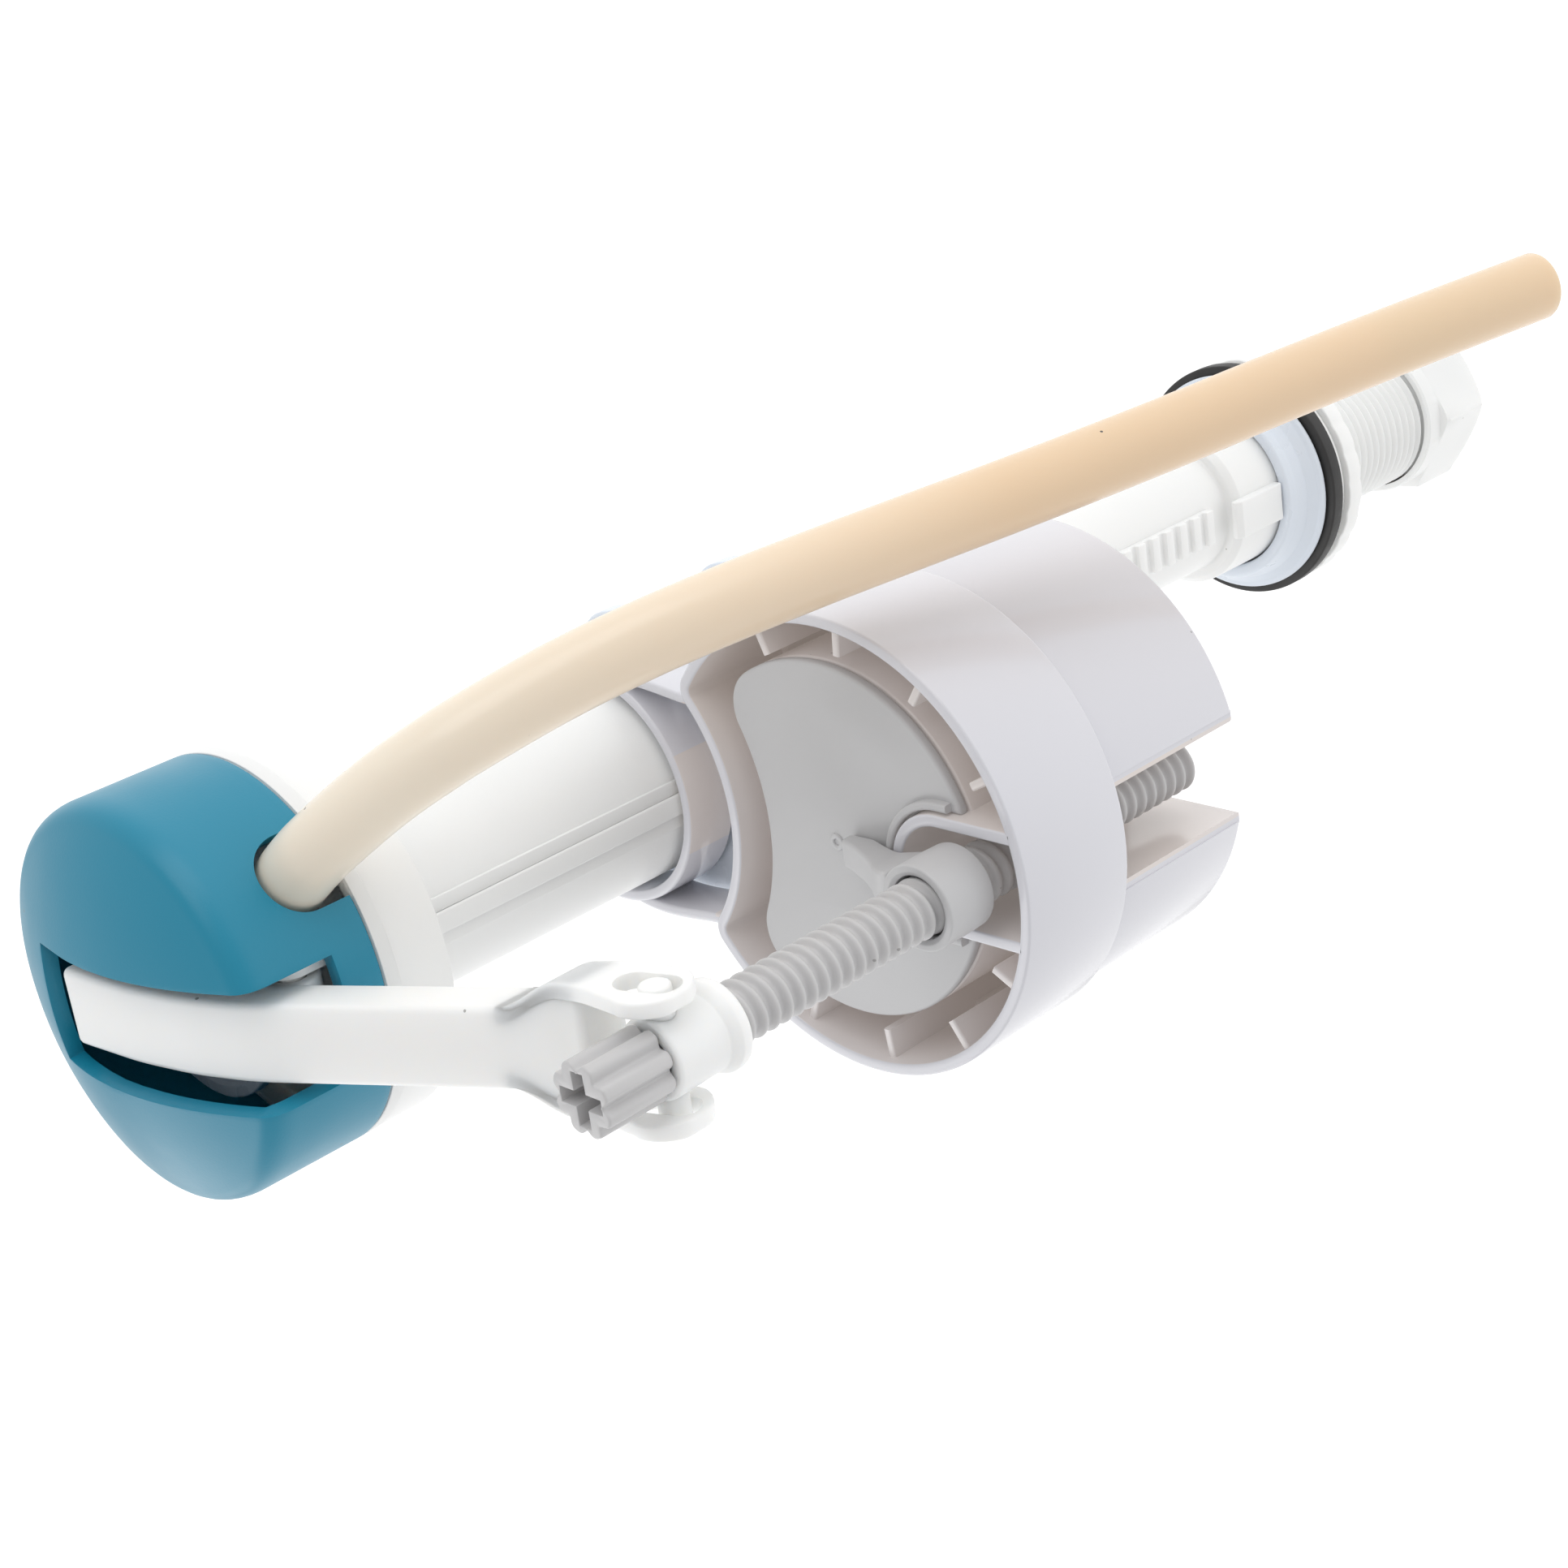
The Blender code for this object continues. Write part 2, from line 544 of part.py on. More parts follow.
# Lock ring: snaps over the riser's end flange; its lower lip runs past the rail.
LOCK_BORE_R = RISER_R + RUN
LOCK_POCKET_R = RISER_R + END_FLANGE_H + RUN
LOCK_LIP_BORE_R = LOWER_R + RAIL_H + 0.5
POCKET_Z = (RISER_BOTTOM - GAP, RISER_BOTTOM + END_FLANGE_T + GAP)
height_lock_ring = finish(turned("height_lock_ring", [
    (LOCK_LIP_BORE_R, LOCK_Z[0]), (LOCK_R, LOCK_Z[0]), (LOCK_R, LOCK_Z[0] + LOCK_LIP_T),
    (LOCK_WAIST_R, LOCK_Z[0] + LOCK_LIP_T + 1.5), (LOCK_WAIST_R, LOCK_Z[1] - LOCK_LIP_T - 1.5),
    (LOCK_R, LOCK_Z[1] - LOCK_LIP_T), (LOCK_R, LOCK_Z[1]), (LOCK_BORE_R, LOCK_Z[1]),
    (LOCK_BORE_R, POCKET_Z[1]), (LOCK_POCKET_R, POCKET_Z[1]), (LOCK_POCKET_R, POCKET_Z[0]),
    (LOCK_LIP_BORE_R, POCKET_Z[0])], BIG, COOL_WHITE))

# Inlet tube: carries water to the head and slides, with an O-ring, in the lower riser.
PISTON_R = LOWER_BORE_R - 0.4
NOZZLE_SHELF = DECK_Z[0] + 2.0
INLET_TOP = NOZZLE_SHELF - GAP
GROOVE_R = PISTON_R - 2 * ORING_SECTION_R - GAP + 0.1
GROOVE_Z = (INLET_BOTTOM + 2.6, INLET_BOTTOM + 2.6 + 2 * ORING_SECTION_R + 2 * GAP)
inlet_tube = finish(turned("inlet_tube", [
    (INLET_BORE_R, INLET_BOTTOM), (PISTON_R, INLET_BOTTOM), (PISTON_R, GROOVE_Z[0]), (GROOVE_R,
                                                                                      GROOVE_Z[0]),
    (GROOVE_R, GROOVE_Z[1]), (PISTON_R, GROOVE_Z[1]), (PISTON_R, GROOVE_Z[1] + 2.6),
    (INLET_R, GROOVE_Z[1] + 3.8), (INLET_R, INLET_TOP), (INLET_BORE_R, INLET_TOP)], MID, WHITE))
oring_centre = (GROOVE_R + 0.15 + ORING_SECTION_R, (GROOVE_Z[0] + GROOVE_Z[1]) / 2)
slide_oring = finish(turned("slide_oring", arc(oring_centre, ORING_SECTION_R, 0, 2 * math.pi, 6)[:-1],
                            MID, BLACK_RUBBER), 60)

# ============================================================================== head ==
radial = (math.cos(NIPPLE_AZIMUTH), math.sin(NIPPLE_AZIMUTH), 0.0)
HEAD_INNER_R = HEAD_R - HEAD_WALL
SOCKET_R = RISER_R + GAP
CHAMBER_BORE_R = CHAMBER_R - CHAMBER_WALL
head_body = turned("head_body", [
    (INLET_BORE_R, SEAT_Z), (INLET_BORE_R + 1.3, SEAT_Z), (NOZZLE_R, SEAT_Z - 1.8), (NOZZLE_R, DECK_Z[1]),
    (CHAMBER_BORE_R, DECK_Z[1]), (CHAMBER_BORE_R, CHAMBER_TOP), (CHAMBER_R, CHAMBER_TOP), (CHAMBER_R,
                                                                                           DECK_Z[1]),
    (HEAD_INNER_R, DECK_Z[1]), (HEAD_INNER_R, CAP_BOTTOM - GAP), (HEAD_R, CAP_BOTTOM - GAP),
    (HEAD_R, HEAD_BOTTOM), (HEAD_INNER_R, HEAD_BOTTOM), (HEAD_INNER_R, DECK_Z[0]),
    (SOCKET_R + 2.2, DECK_Z[0]), (SOCKET_R + 2.2, HEAD_BOTTOM), (SOCKET_R, HEAD_BOTTOM), (SOCKET_R,
                                                                                          DECK_Z[0]),
    (NOZZLE_R, DECK_Z[0]), (NOZZLE_R, HEAD_BOTTOM + 0.5), (INLET_R + GAP, HEAD_BOTTOM + 0.5),
    (INLET_R + GAP, NOZZLE_SHELF), (INLET_BORE_R, NOZZLE_SHELF)], BIG, WHITE)

# Outlet windows let the water fall between the inlet tube and the riser.
OUTLET_RING_R = (NOZZLE_R + RISER_BORE_R) / 2
for window in range(OUTLET_HOLES):
    angle = 2 * math.pi * (window + 0.54) / OUTLET_HOLES
    place = (OUTLET_RING_R * math.cos(angle), OUTLET_RING_R * math.sin(angle), 0)
    cut(head_body, rod("outlet", place, OUTLET_R, DECK_Z[0] - 2, DECK_Z[1] + 2, (0, 0, 1), 10))

# Boss and passage of the refill nipple, and a dip in the rim under the hose.
BOSS_END = CHAMBER_R + 2.8
BOSS_HALF_W = 4.4
nipple_boss = box("nipple_boss", (CHAMBER_R - 0.9, -BOSS_HALF_W, DECK_Z[1] - 1), (BOSS_END, BOSS_HALF_W,
                                                                                  CHAMBER_TOP - 0.25))
nipple_boss.data.transform(Matrix.Rotation(NIPPLE_AZIMUTH, 4, "Z"))
add(head_body, nipple_boss)
cut(head_body, rod("passage", (0, 0, NIPPLE_Z - 0.6), 1.2, CHAMBER_BORE_R - 2, BOSS_END + 2, radial, 12))
cut(head_body, rod("hose_dip", (0, 0, NIPPLE_Z), HOSE_R + 0.6, HEAD_INNER_R - 1, HEAD_R + 5, radial, 24))

# Two posts carry the lever's pin.
POST_IN = LEVER_W / 2 + POST_GAP
POST_HALF_X = 3.0
POST_ROOM = CAP_R - CAP_WALL - 0.1       # the posts' outer corners follow the cap's bore
for side in (-1, 1):
    outline = [(PIVOT[0] - POST_HALF_X, DECK_Z[1] - 1), (PIVOT[0] + POST_HALF_X, DECK_Z[1] - 1)]
    outline += arc(PIVOT, POST_HALF_X, 0, math.pi, 8)
    lows = sorted((side * POST_IN, side * (POST_IN + POST_T)))
    post = side_plate("post", outline, *lows)
    cut(post, rod("pin_hole", (PIVOT[0], 0, PIVOT[1]), PIN_R + GAP, -30, 30, (0, 1, 0), 16))
    cut(post, turned("post_trim", [(POST_ROOM, DECK_Z[1]), (POST_ROOM + 12, DECK_Z[1]),
                                   (POST_ROOM + 12, CAP_TOP), (POST_ROOM, CAP_TOP)], 48))
    add(head_body, post)
finish(head_body)

lever_pin = rod("lever_pin", (PIVOT[0], 0, PIVOT[1]), PIN_R, -POST_IN - POST_T - GAP - 0.1,
                POST_IN + POST_T + 0.8,
                (0, 1, 0), 16)
add(lever_pin, rod("pin_head", (PIVOT[0], 0, PIVOT[1]), PIN_R + 0.8, POST_IN + POST_T + GAP,
                   POST_IN + POST_T + 1.3,
                   (0, 1, 0), 16))
lever_pin.data.materials.append(WHITE)
finish(lever_pin)

nipple_start = BOSS_END + GAP
refill_nipple = rod("refill_nipple", (0, 0, NIPPLE_Z), NIPPLE_R, nipple_start + 0.5, NIPPLE_END, radial, 16)
add(refill_nipple, rod("nipple_foot", (0, 0, NIPPLE_Z), NIPPLE_R + 1.0, nipple_start, nipple_start + 1.2,
                       radial, 16))
cut(refill_nipple, rod("nipple_bore", (0, 0, NIPPLE_Z), NIPPLE_BORE_R, nipple_start - 2, NIPPLE_END + 2,
                       radial, 12))
refill_nipple.data.materials.append(WHITE)
finish(refill_nipple)

# Valve works: a cup diaphragm seats on the nozzle, stiffened by a plate, under a bonnet.
DIA_Z = CHAMBER_TOP + GAP
DIA_LOW = SEAT_Z + GAP
CUP_T = 2.4
diaphragm = finish(turned("diaphragm", [
    (0, DIA_LOW), (INLET_BORE_R + 1.6, DIA_LOW), (INLET_BORE_R + 2.4, DIA_LOW + 1.3), (9.2, DIA_Z),
    (CHAMBER_R - 0.3, DIA_Z), (CHAMBER_R - 0.3, DIA_Z + DIAPHRAGM_T), (8.8, DIA_Z + DIAPHRAGM_T),
    (INLET_BORE_R + 1.5, DIA_LOW + CUP_T), (0, DIA_LOW + CUP_T)], MID, BLACK_RUBBER))
PLATE_Z = DIA_LOW + CUP_T + GAP
diaphragm_plate = finish(turned("diaphragm_plate", [
    (0.9, PLATE_Z), (INLET_BORE_R + 0.9, PLATE_Z), (INLET_BORE_R + 1.8, PLATE_Z + 1.6), (0.9,
                                                                                         PLATE_Z + 1.6)],
    MID, WHITE))

BONNET_Z = DIA_Z + DIAPHRAGM_T + GAP
GUIDE_TOP = BONNET_Z + BONNET_T + 3.0
PILOT_FLOOR = BONNET_Z + 0.8
bonnet = turned("bonnet", [
    (0, BONNET_Z), (CHAMBER_R + 0.2, BONNET_Z), (CHAMBER_R + 0.2, BONNET_Z + BONNET_T - 0.5),
    (CHAMBER_R - 0.3, BONNET_Z + BONNET_T), (0, BONNET_Z + BONNET_T)], BIG, COOL_WHITE)
add(bonnet, rod("pilot_guide", (PILOT_X, 0, 0), PILOT_R + RUN + 1.6, BONNET_Z + 1, GUIDE_TOP, (0, 0, 1)))
cut(bonnet, rod("pilot_bore", (PILOT_X, 0, 0), PILOT_R + RUN, PILOT_FLOOR, GUIDE_TOP + 2, (0, 0, 1), 16))
cut(bonnet, rod("pilot_hole", (PILOT_X, 0, 0), 0.6, BONNET_Z - 2, PILOT_FLOOR + 1, (0, 0, 1), 10))
finish(bonnet)

SEAL_T = 0.5
SEAL_Z = PILOT_FLOOR + PILOT_TRAVEL + 0.3
pilot_seal = rod("pilot_seal", (PILOT_X, 0, 0), PILOT_R - 0.2, SEAL_Z, SEAL_Z + SEAL_T, (0, 0, 1), 16)
pilot_seal.data.materials.append(BLACK_RUBBER)
finish(pilot_seal)

# =============================================================================== cap ==
def dome(radius):
    """Height of the cap's crown at a radius: a shallow parabola."""
    return CAP_TOP - 0.01003 * radius ** 2


CAP_BORE_R = CAP_R - CAP_WALL
CROWN_T = 2.2
EDGE_DROP = 0.9
crown = [(radius, dome(radius)) for radius in (24.3, 20.0, 15.0, 10.0, 5.0)]
under = [(radius, dome(radius) - CROWN_T) for radius in (5.0, 10.0, 15.0, 20.0)]
top_cap = turned("top_cap", [
    (CAP_BORE_R, CAP_BOTTOM), (CAP_R, CAP_BOTTOM), (CAP_R, CAP_SIDE_TOP - 1.5), (CAP_R - 0.5,
                                                                                 CAP_SIDE_TOP - 0.1)]
    + crown + [(0, CAP_TOP), (0, CAP_TOP - CROWN_T)] + under
    + [(CAP_BORE_R - 1.0, dome(CAP_BORE_R) - CROWN_T - EDGE_DROP), (CAP_BORE_R, CAP_SIDE_TOP - 2.8)], 48,
    TEAL)
cut(top_cap, box("lever_slot", (SLOT_BACK, -SLOT_W / 2, SLOT_SILL), (CAP_R + 5, SLOT_W / 2, CAP_TOP + 5)))
notch_outline = [(NOTCH_R, CAP_BOTTOM - 5), (NOTCH_R, NIPPLE_Z)] + arc((0, NIPPLE_Z), NOTCH_R, 0, math.pi,
                                                                       10)
notch_outline.append((-NOTCH_R, CAP_BOTTOM - 5))
notch = side_plate("notch", notch_outline, CAP_BORE_R - 4, CAP_R + 5)
notch.data.transform(Matrix.Rotation(NIPPLE_AZIMUTH - math.pi / 2, 4, "Z"))
cut(top_cap, notch)
finish(top_cap)

# ============================================================================= lever ==
bar_outline = [(-9.0, 226.4), (3.0, 225.0), (12.0, 223.2), (20.0, 220.5), (47.0, 206.2), (57.6, 200.6),
               (57.6, 193.9), UNDERSIDE[1], UNDERSIDE[0], (12.0, 217.6), (6.6, 219.6), (1.4, 219.6),
               (-8.0, 221.8)]
float_lever = side_plate("float_lever", bar_outline, -LEVER_W / 2, LEVER_W / 2, CLEAR_WHITE)
add(float_lever, rod("boss", (PIVOT[0], 0, PIVOT[1]), BOSS_R, -LEVER_W / 2 + 0.01, LEVER_W / 2 - 0.01, (0,
                                                                                                        1,
                                                                                                        0)))
cut(float_lever, rod("boss_hole", (PIVOT[0], 0, PIVOT[1]), PIN_R + RUN, -10, 10, (0, 1, 0), 16))

# Fork: a cross bar widens the lever, and two slotted ears take the trunnion's pins.
FORK_X = (54.0, 57.9)
fork = side_plate("fork", [(FORK_X[0], 202.2), (FORK_X[1], 200.2), (FORK_X[1], 194.0), (FORK_X[0], 196.0)],
                  -EAR_Y[1], EAR_Y[1])
add(float_lever, fork)
reach = math.hypot(ROD_X - PIVOT[0], TRUNNION_Z - PIVOT[1])
tilt = math.atan2(TRUNNION_Z - PIVOT[1], ROD_X - PIVOT[0])
SLOT_REACH = reach - 0.8         # the slot's middle, from the pivot
SLOT_HALF = 1.9
slot_middle = (PIVOT[0] + SLOT_REACH * math.cos(tilt), PIVOT[1] + SLOT_REACH * math.sin(tilt))
for side in (-1, 1):
    outline = [(FORK_X[0] + 0.4, 195.8), (FORK_X[0] + 0.4, 201.9)]
    outline += arc(slot_middle, EAR_R, math.radians(62), math.radians(-118), 10)
    lows = sorted((side * EAR_Y[0], side * EAR_Y[1]))
    ear = side_plate("ear", outline, *lows)
    across, width = Vector((math.cos(tilt), math.sin(tilt))), TRUNNION_R + RUN
    ends = [Vector(slot_middle) + across * SLOT_HALF * way for way in (1, -1)]
    slot_outline = arc(ends[0], width, tilt - math.pi / 2, tilt + math.pi / 2, 8)
    slot_outline += arc(ends[1], width, tilt + math.pi / 2, tilt + 3 * math.pi / 2, 8)
    cut(ear, side_plate("ear_slot", slot_outline, -20, 20))
    add(float_lever, ear)
finish(float_lever)

# The plunger's top lies just under the lever.
PLUNGER_TOP = 219.3
pilot_plunger = rod("pilot_plunger", (PILOT_X, 0, 0), PILOT_R, SEAL_Z + SEAL_T + GAP, PLUNGER_TOP, (0, 0,
                                                                                                    1), 16)
pilot_plunger.data.materials.append(WHITE)
finish(pilot_plunger)

# ============================================================ barrel and adjusting rod ==
trunnion_barrel = turned("trunnion_barrel", [
    (NECK_R + RUN, BARREL_Z[0]), (BARREL_R + 0.6, BARREL_Z[0]), (BARREL_R + 0.6, BARREL_Z[0] + 1.5),
    (BARREL_R - 0.3, BARREL_Z[0] + 3.0), (BARREL_R, BARREL_Z[1] - 0.5), (BARREL_R - 0.5, BARREL_Z[1]),
    (NECK_R + RUN, BARREL_Z[1])], 24, CLEAR_WHITE)
trunnion_barrel.data.transform(Matrix.Translation((ROD_X * MM, 0, 0)))
for side in (-1, 1):
    add(trunnion_barrel, rod("trunnion", (ROD_X, 0, TRUNNION_Z), TRUNNION_R, BARREL_R - 1.2, EAR_Y[1] - 0.1,
                             (0, side, 0), 16))
finish(trunnion_barrel)

KNOB_BOTTOM = BARREL_Z[1] + GAP
KNOB_TOP = KNOB_BOTTOM + KNOB_H
THREAD_TOP = BARREL_Z[0] - GAP
flute_depth = 0.7
knob_outline = []
for flute in range(KNOB_FLUTES):
    for share, depth in ((-0.32, 0), (0.0, 0), (0.32, 0), (0.42, flute_depth), (0.58, flute_depth)):
        angle = 2 * math.pi * (flute + share) / KNOB_FLUTES
        knob_outline.append(((KNOB_R - depth) * math.cos(angle), (KNOB_R - depth) * math.sin(angle)))
adjusting_rod = prism("adjusting_rod", knob_outline, KNOB_BOTTOM, KNOB_TOP, LID_GREY)
CROSS_DEPTH, CROSS_LONG, CROSS_WIDE = 5.0, 3.3, 0.9
cut(adjusting_rod, box("cross_x", (-CROSS_LONG, -CROSS_WIDE, KNOB_TOP - CROSS_DEPTH), (CROSS_LONG,
                                                                                       CROSS_WIDE,
                                                                                       KNOB_TOP + 2)))
cut(adjusting_rod, box("cross_y", (-CROSS_WIDE, -CROSS_LONG, KNOB_TOP - CROSS_DEPTH), (CROSS_WIDE,
                                                                                       CROSS_LONG,
                                                                                       KNOB_TOP + 2)))
add(adjusting_rod, rod("neck", (0, 0, 0), NECK_R, THREAD_TOP - 1, KNOB_BOTTOM + 1, (0, 0, 1), 16))
add(adjusting_rod, threaded_bar("rod_thread", THREAD_ROOT_R, THREAD_R, THREAD_PITCH, ROD_BOTTOM,
                                THREAD_TOP, 8))
adjusting_rod.data.transform(Matrix.Translation((ROD_X * MM, 0, 0)))
finish(adjusting_rod)

# ============================================================================= float ==
COLLAR_BOTTOM = FLOAT_Z[1] - COLLAR_H
BODY_R = FLOAT_R - BODY_INSET
OPEN = 5.0                       # how far a cutter stands out past a face
float_shell = prism("float_shell", bean(FLOAT_X, FLOAT_R, FLOAT_HOLLOW_R, FLOAT_CORNER_R), COLLAR_BOTTOM,
                    FLOAT_Z[1],
                    FLOAT_GREY)
add(float_shell, prism("body", bean(FLOAT_X, BODY_R, FLOAT_HOLLOW_R + 0.2, FLOAT_CORNER_R - 0.4),
                       FLOAT_Z[0], COLLAR_BOTTOM + 1))
cut(float_shell, prism("collar_hollow", bean(FLOAT_X, FLOAT_R - FLOAT_WALL, FLOAT_HOLLOW_R + FLOAT_WALL,
                                             FLOAT_CORNER_R - FLOAT_WALL), COLLAR_BOTTOM + 2,
                                             FLOAT_Z[1] + OPEN))
cut(float_shell, prism("body_hollow", bean(FLOAT_X, BODY_R - FLOAT_WALL, FLOAT_HOLLOW_R + FLOAT_WALL + 0.2,
                                           FLOAT_CORNER_R - FLOAT_WALL - 0.2), FLOAT_Z[0] + FLOOR_T,
                                           COLLAR_BOTTOM + 3))

# Air chamber: a kidney-shaped well that the lid closes, ribs tie it to the outer wall.
CHAMBER_RIM = LID_TOP - LID_T - GAP
add(float_shell, prism("well", bean(LID_X, LID_R, LID_HOLLOW_R, LID_CORNER_R), FLOAT_Z[0] + 1, CHAMBER_RIM))
for azimuth in RIB_AZIMUTHS:
    rib = box("rib", (LID_R - 1.0, -RIB_T / 2, FLOAT_Z[0] + 1), (BODY_R - 0.3, RIB_T / 2,
                                                                 FLOAT_Z[1] - RIB_DROP))
    rib.data.transform(Matrix.Translation((FLOAT_X * MM, 0, 0)) @ Matrix.Rotation(math.radians(azimuth),
                                                                                  4, "Z"))
    add(float_shell, rib)
for azimuth in HOLLOW_RIB_AZIMUTHS:
    rib = box("hollow_rib", (FLOAT_HOLLOW_R + 0.6, -RIB_T / 2, FLOAT_Z[0] + 1),
              (LID_HOLLOW_R + 1.2, RIB_T / 2, FLOAT_Z[1] - 5 * RIB_DROP))
    rib.data.transform(Matrix.Rotation(math.radians(azimuth), 4, "Z"))
    add(float_shell, rib)
cut(float_shell, prism("well_hollow", bean(LID_X, LID_R - FLOAT_WALL, LID_HOLLOW_R + FLOAT_WALL,
                                           LID_CORNER_R - FLOAT_WALL), FLOAT_Z[0] + FLOOR_T,
                                           CHAMBER_RIM + OPEN))

cut(float_shell, prism("lid_seat", bean(LID_X, LID_R + GAP, LID_HOLLOW_R - GAP, LID_CORNER_R + GAP),
                       CHAMBER_RIM,
                       FLOAT_Z[1] + OPEN))

# Rod channel: walled inside the float, open to the outside below the collar.
CHANNEL_WALL_END = FLOAT_X + math.sqrt((FLOAT_R - FLOAT_WALL / 2) ** 2 - (CHANNEL_R + FLOAT_WALL) ** 2) - 0.6
add(float_shell, prism("channel_wall", channel(CHANNEL_R + FLOAT_WALL, CHANNEL_WALL_END), FLOAT_Z[0],
                       FLOAT_Z[1]))
cut(float_shell, prism("channel_hollow", channel(CHANNEL_R, FLOAT_X + FLOAT_R - FLOAT_WALL),
                       FLOAT_Z[0] - OPEN,
                       FLOAT_Z[1] + OPEN))
cut(float_shell, prism("channel_mouth", channel(CHANNEL_R, FLOAT_X + FLOAT_R + OPEN), FLOAT_Z[0] - OPEN,
                       COLLAR_BOTTOM))

# Guide ring: a C round the riser, tied to the float's corners by two webs.
ring_outline = arc((0, 0), GUIDE_R + GUIDE_WALL, -GUIDE_HALF_ANGLE, GUIDE_HALF_ANGLE, 26)
ring_outline += arc((0, 0), GUIDE_R, GUIDE_HALF_ANGLE, -GUIDE_HALF_ANGLE, 26)
GUIDE_BOTTOM = FLOAT_Z[1] - GUIDE_H
guide_ring = prism("guide_ring", ring_outline, GUIDE_BOTTOM, FLOAT_Z[1])
near, far = FLOAT_HOLLOW_R + FLOAT_CORNER_R, FLOAT_R - FLOAT_CORNER_R
corner_angle = math.acos((near ** 2 - far ** 2 + FLOAT_X ** 2) / (2 * FLOAT_X * near))
for side in (-1, 1):
    ring_foot = math.radians(64) * side
    float_foot = (corner_angle + math.radians(3.8)) * side
    across = (GUIDE_R + 0.7, FLOAT_HOLLOW_R + 0.8)
    inner = Vector((across[0] * math.cos(ring_foot), across[0] * math.sin(ring_foot)))
    outer = Vector((across[1] * math.cos(float_foot), across[1] * math.sin(float_foot)))
    thick = (outer - inner).normalized().orthogonal() * GUIDE_WALL / 2
    add(guide_ring, prism("web", [inner - thick, outer - thick, outer + thick, inner + thick],
                          GUIDE_BOTTOM + 0.2, FLOAT_Z[1] - 0.2))
add(float_shell, guide_ring)
finish(float_shell)

float_lid = prism("float_lid", bean(LID_X, LID_R, LID_HOLLOW_R, LID_CORNER_R), LID_TOP - LID_T, LID_TOP,
                  LID_GREY)
cut(float_lid, prism("lid_cut", channel(CHANNEL_R + FLOAT_WALL + GAP, FLOAT_X + FLOAT_R), LID_TOP - 5,
                     LID_TOP + 5))
PLUG_HOLE_X = 43.0
cut(float_lid, rod("lid_hole", (PLUG_HOLE_X, 0, 0), 0.7, LID_TOP - 5, LID_TOP + 5, (0, 0, 1), 10))
finish(float_lid)

# Rod clip: a ring round the thread on an arm that stands on the lid.
LID_SEAT = LID_TOP + GAP
WALL_X = CHANNEL_X - CHANNEL_R - FLOAT_WALL
ARM_LOW = FLOAT_Z[1] + GAP + 0.4
rod_clip = side_plate("rod_clip", [
    (46.0, LID_SEAT), (WALL_X - 1.0, LID_SEAT), (WALL_X - 0.7, ARM_LOW), (ROD_X - CLIP_R + 1.2, ARM_LOW),
    (ROD_X - CLIP_R + 1.2, CLIP_Z[1] - 0.4), (57.6, CLIP_Z[1] - 1.2), (54.5, 150.6), (48.0, 148.0), (46.0,
                                                                                                     147.4)],
    -2.3, 2.3, LID_GREY)
add(rod_clip, rod("clip_ring", (ROD_X, 0, 0), CLIP_R, CLIP_Z[0], CLIP_Z[1], (0, 0, 1), 24))
cut(rod_clip, rod("clip_bore", (ROD_X, 0, 0), THREAD_R + RUN, CLIP_Z[0] - 5, CLIP_Z[1] + 5, (0, 0, 1), 24))
finish(rod_clip)

# ======================================================================= refill hose ==
hose_curve = bpy.data.curves.new("refill_hose", "CURVE")
hose_curve.dimensions = "3D"
hose_points = smooth_route(HOSE_ROUTE, HOSE_STEP, 1.5)
spline = hose_curve.splines.new("POLY")
spline.points.add(len(hose_points) - 1)
for control, place in zip(spline.points, hose_points):
    control.co = (*(place * MM), 1.0)
hose_curve.bevel_depth = HOSE_R * MM
hose_curve.bevel_resolution = 3
hose_curve.use_fill_caps = True
hose_curve.resolution_u = 1
hose_curve.render_resolution_u = 0
hose_curve.materials.append(CREAM)
refill_hose = bpy.data.objects.new("refill_hose", hose_curve)
bpy.context.collection.objects.link(refill_hose)

# ==================================================================== moving groups ===
parent_to_axis("axis_lock_nut", (0, 0, NUT_TOP), [slip_washer, lock_nut])
parent_to_axis("axis_coupling_nut", (0, 0, COUPLING_BOTTOM), [cone_washer, friction_ring, coupling_nut])
parent_to_axis("axis_height", (0, 0, RISER_BOTTOM), [
    riser_tube, riser_gasket, inlet_tube, slide_oring, head_body, lever_pin, refill_nipple, diaphragm,
    diaphragm_plate, bonnet, top_cap, refill_hose])
parent_to_axis("axis_lock_ring", (0, 0, LOCK_Z[0]), [height_lock_ring])
parent_to_axis("axis_lever", (PIVOT[0], 0, PIVOT[1]), [float_lever])
parent_to_axis("axis_pilot", (PILOT_X, 0, PLUNGER_TOP), [pilot_plunger, pilot_seal])
parent_to_axis("axis_rod", (ROD_X, 0, TRUNNION_Z), [trunnion_barrel, adjusting_rod, float_shell,
                                                    float_lid, rod_clip])
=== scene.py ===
"""Fill valve of a toilet tank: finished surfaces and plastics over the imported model.

Sections follow the valve as it is put together, from the shank under the tank to the float.
Sizes are in millimetres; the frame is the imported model's, with z = 0 on the tank's floor,
+Z up the riser and +X towards the float's rod.
"""
import math

import bmesh
import bpy
import numpy as np
from mathutils import Matrix, Vector


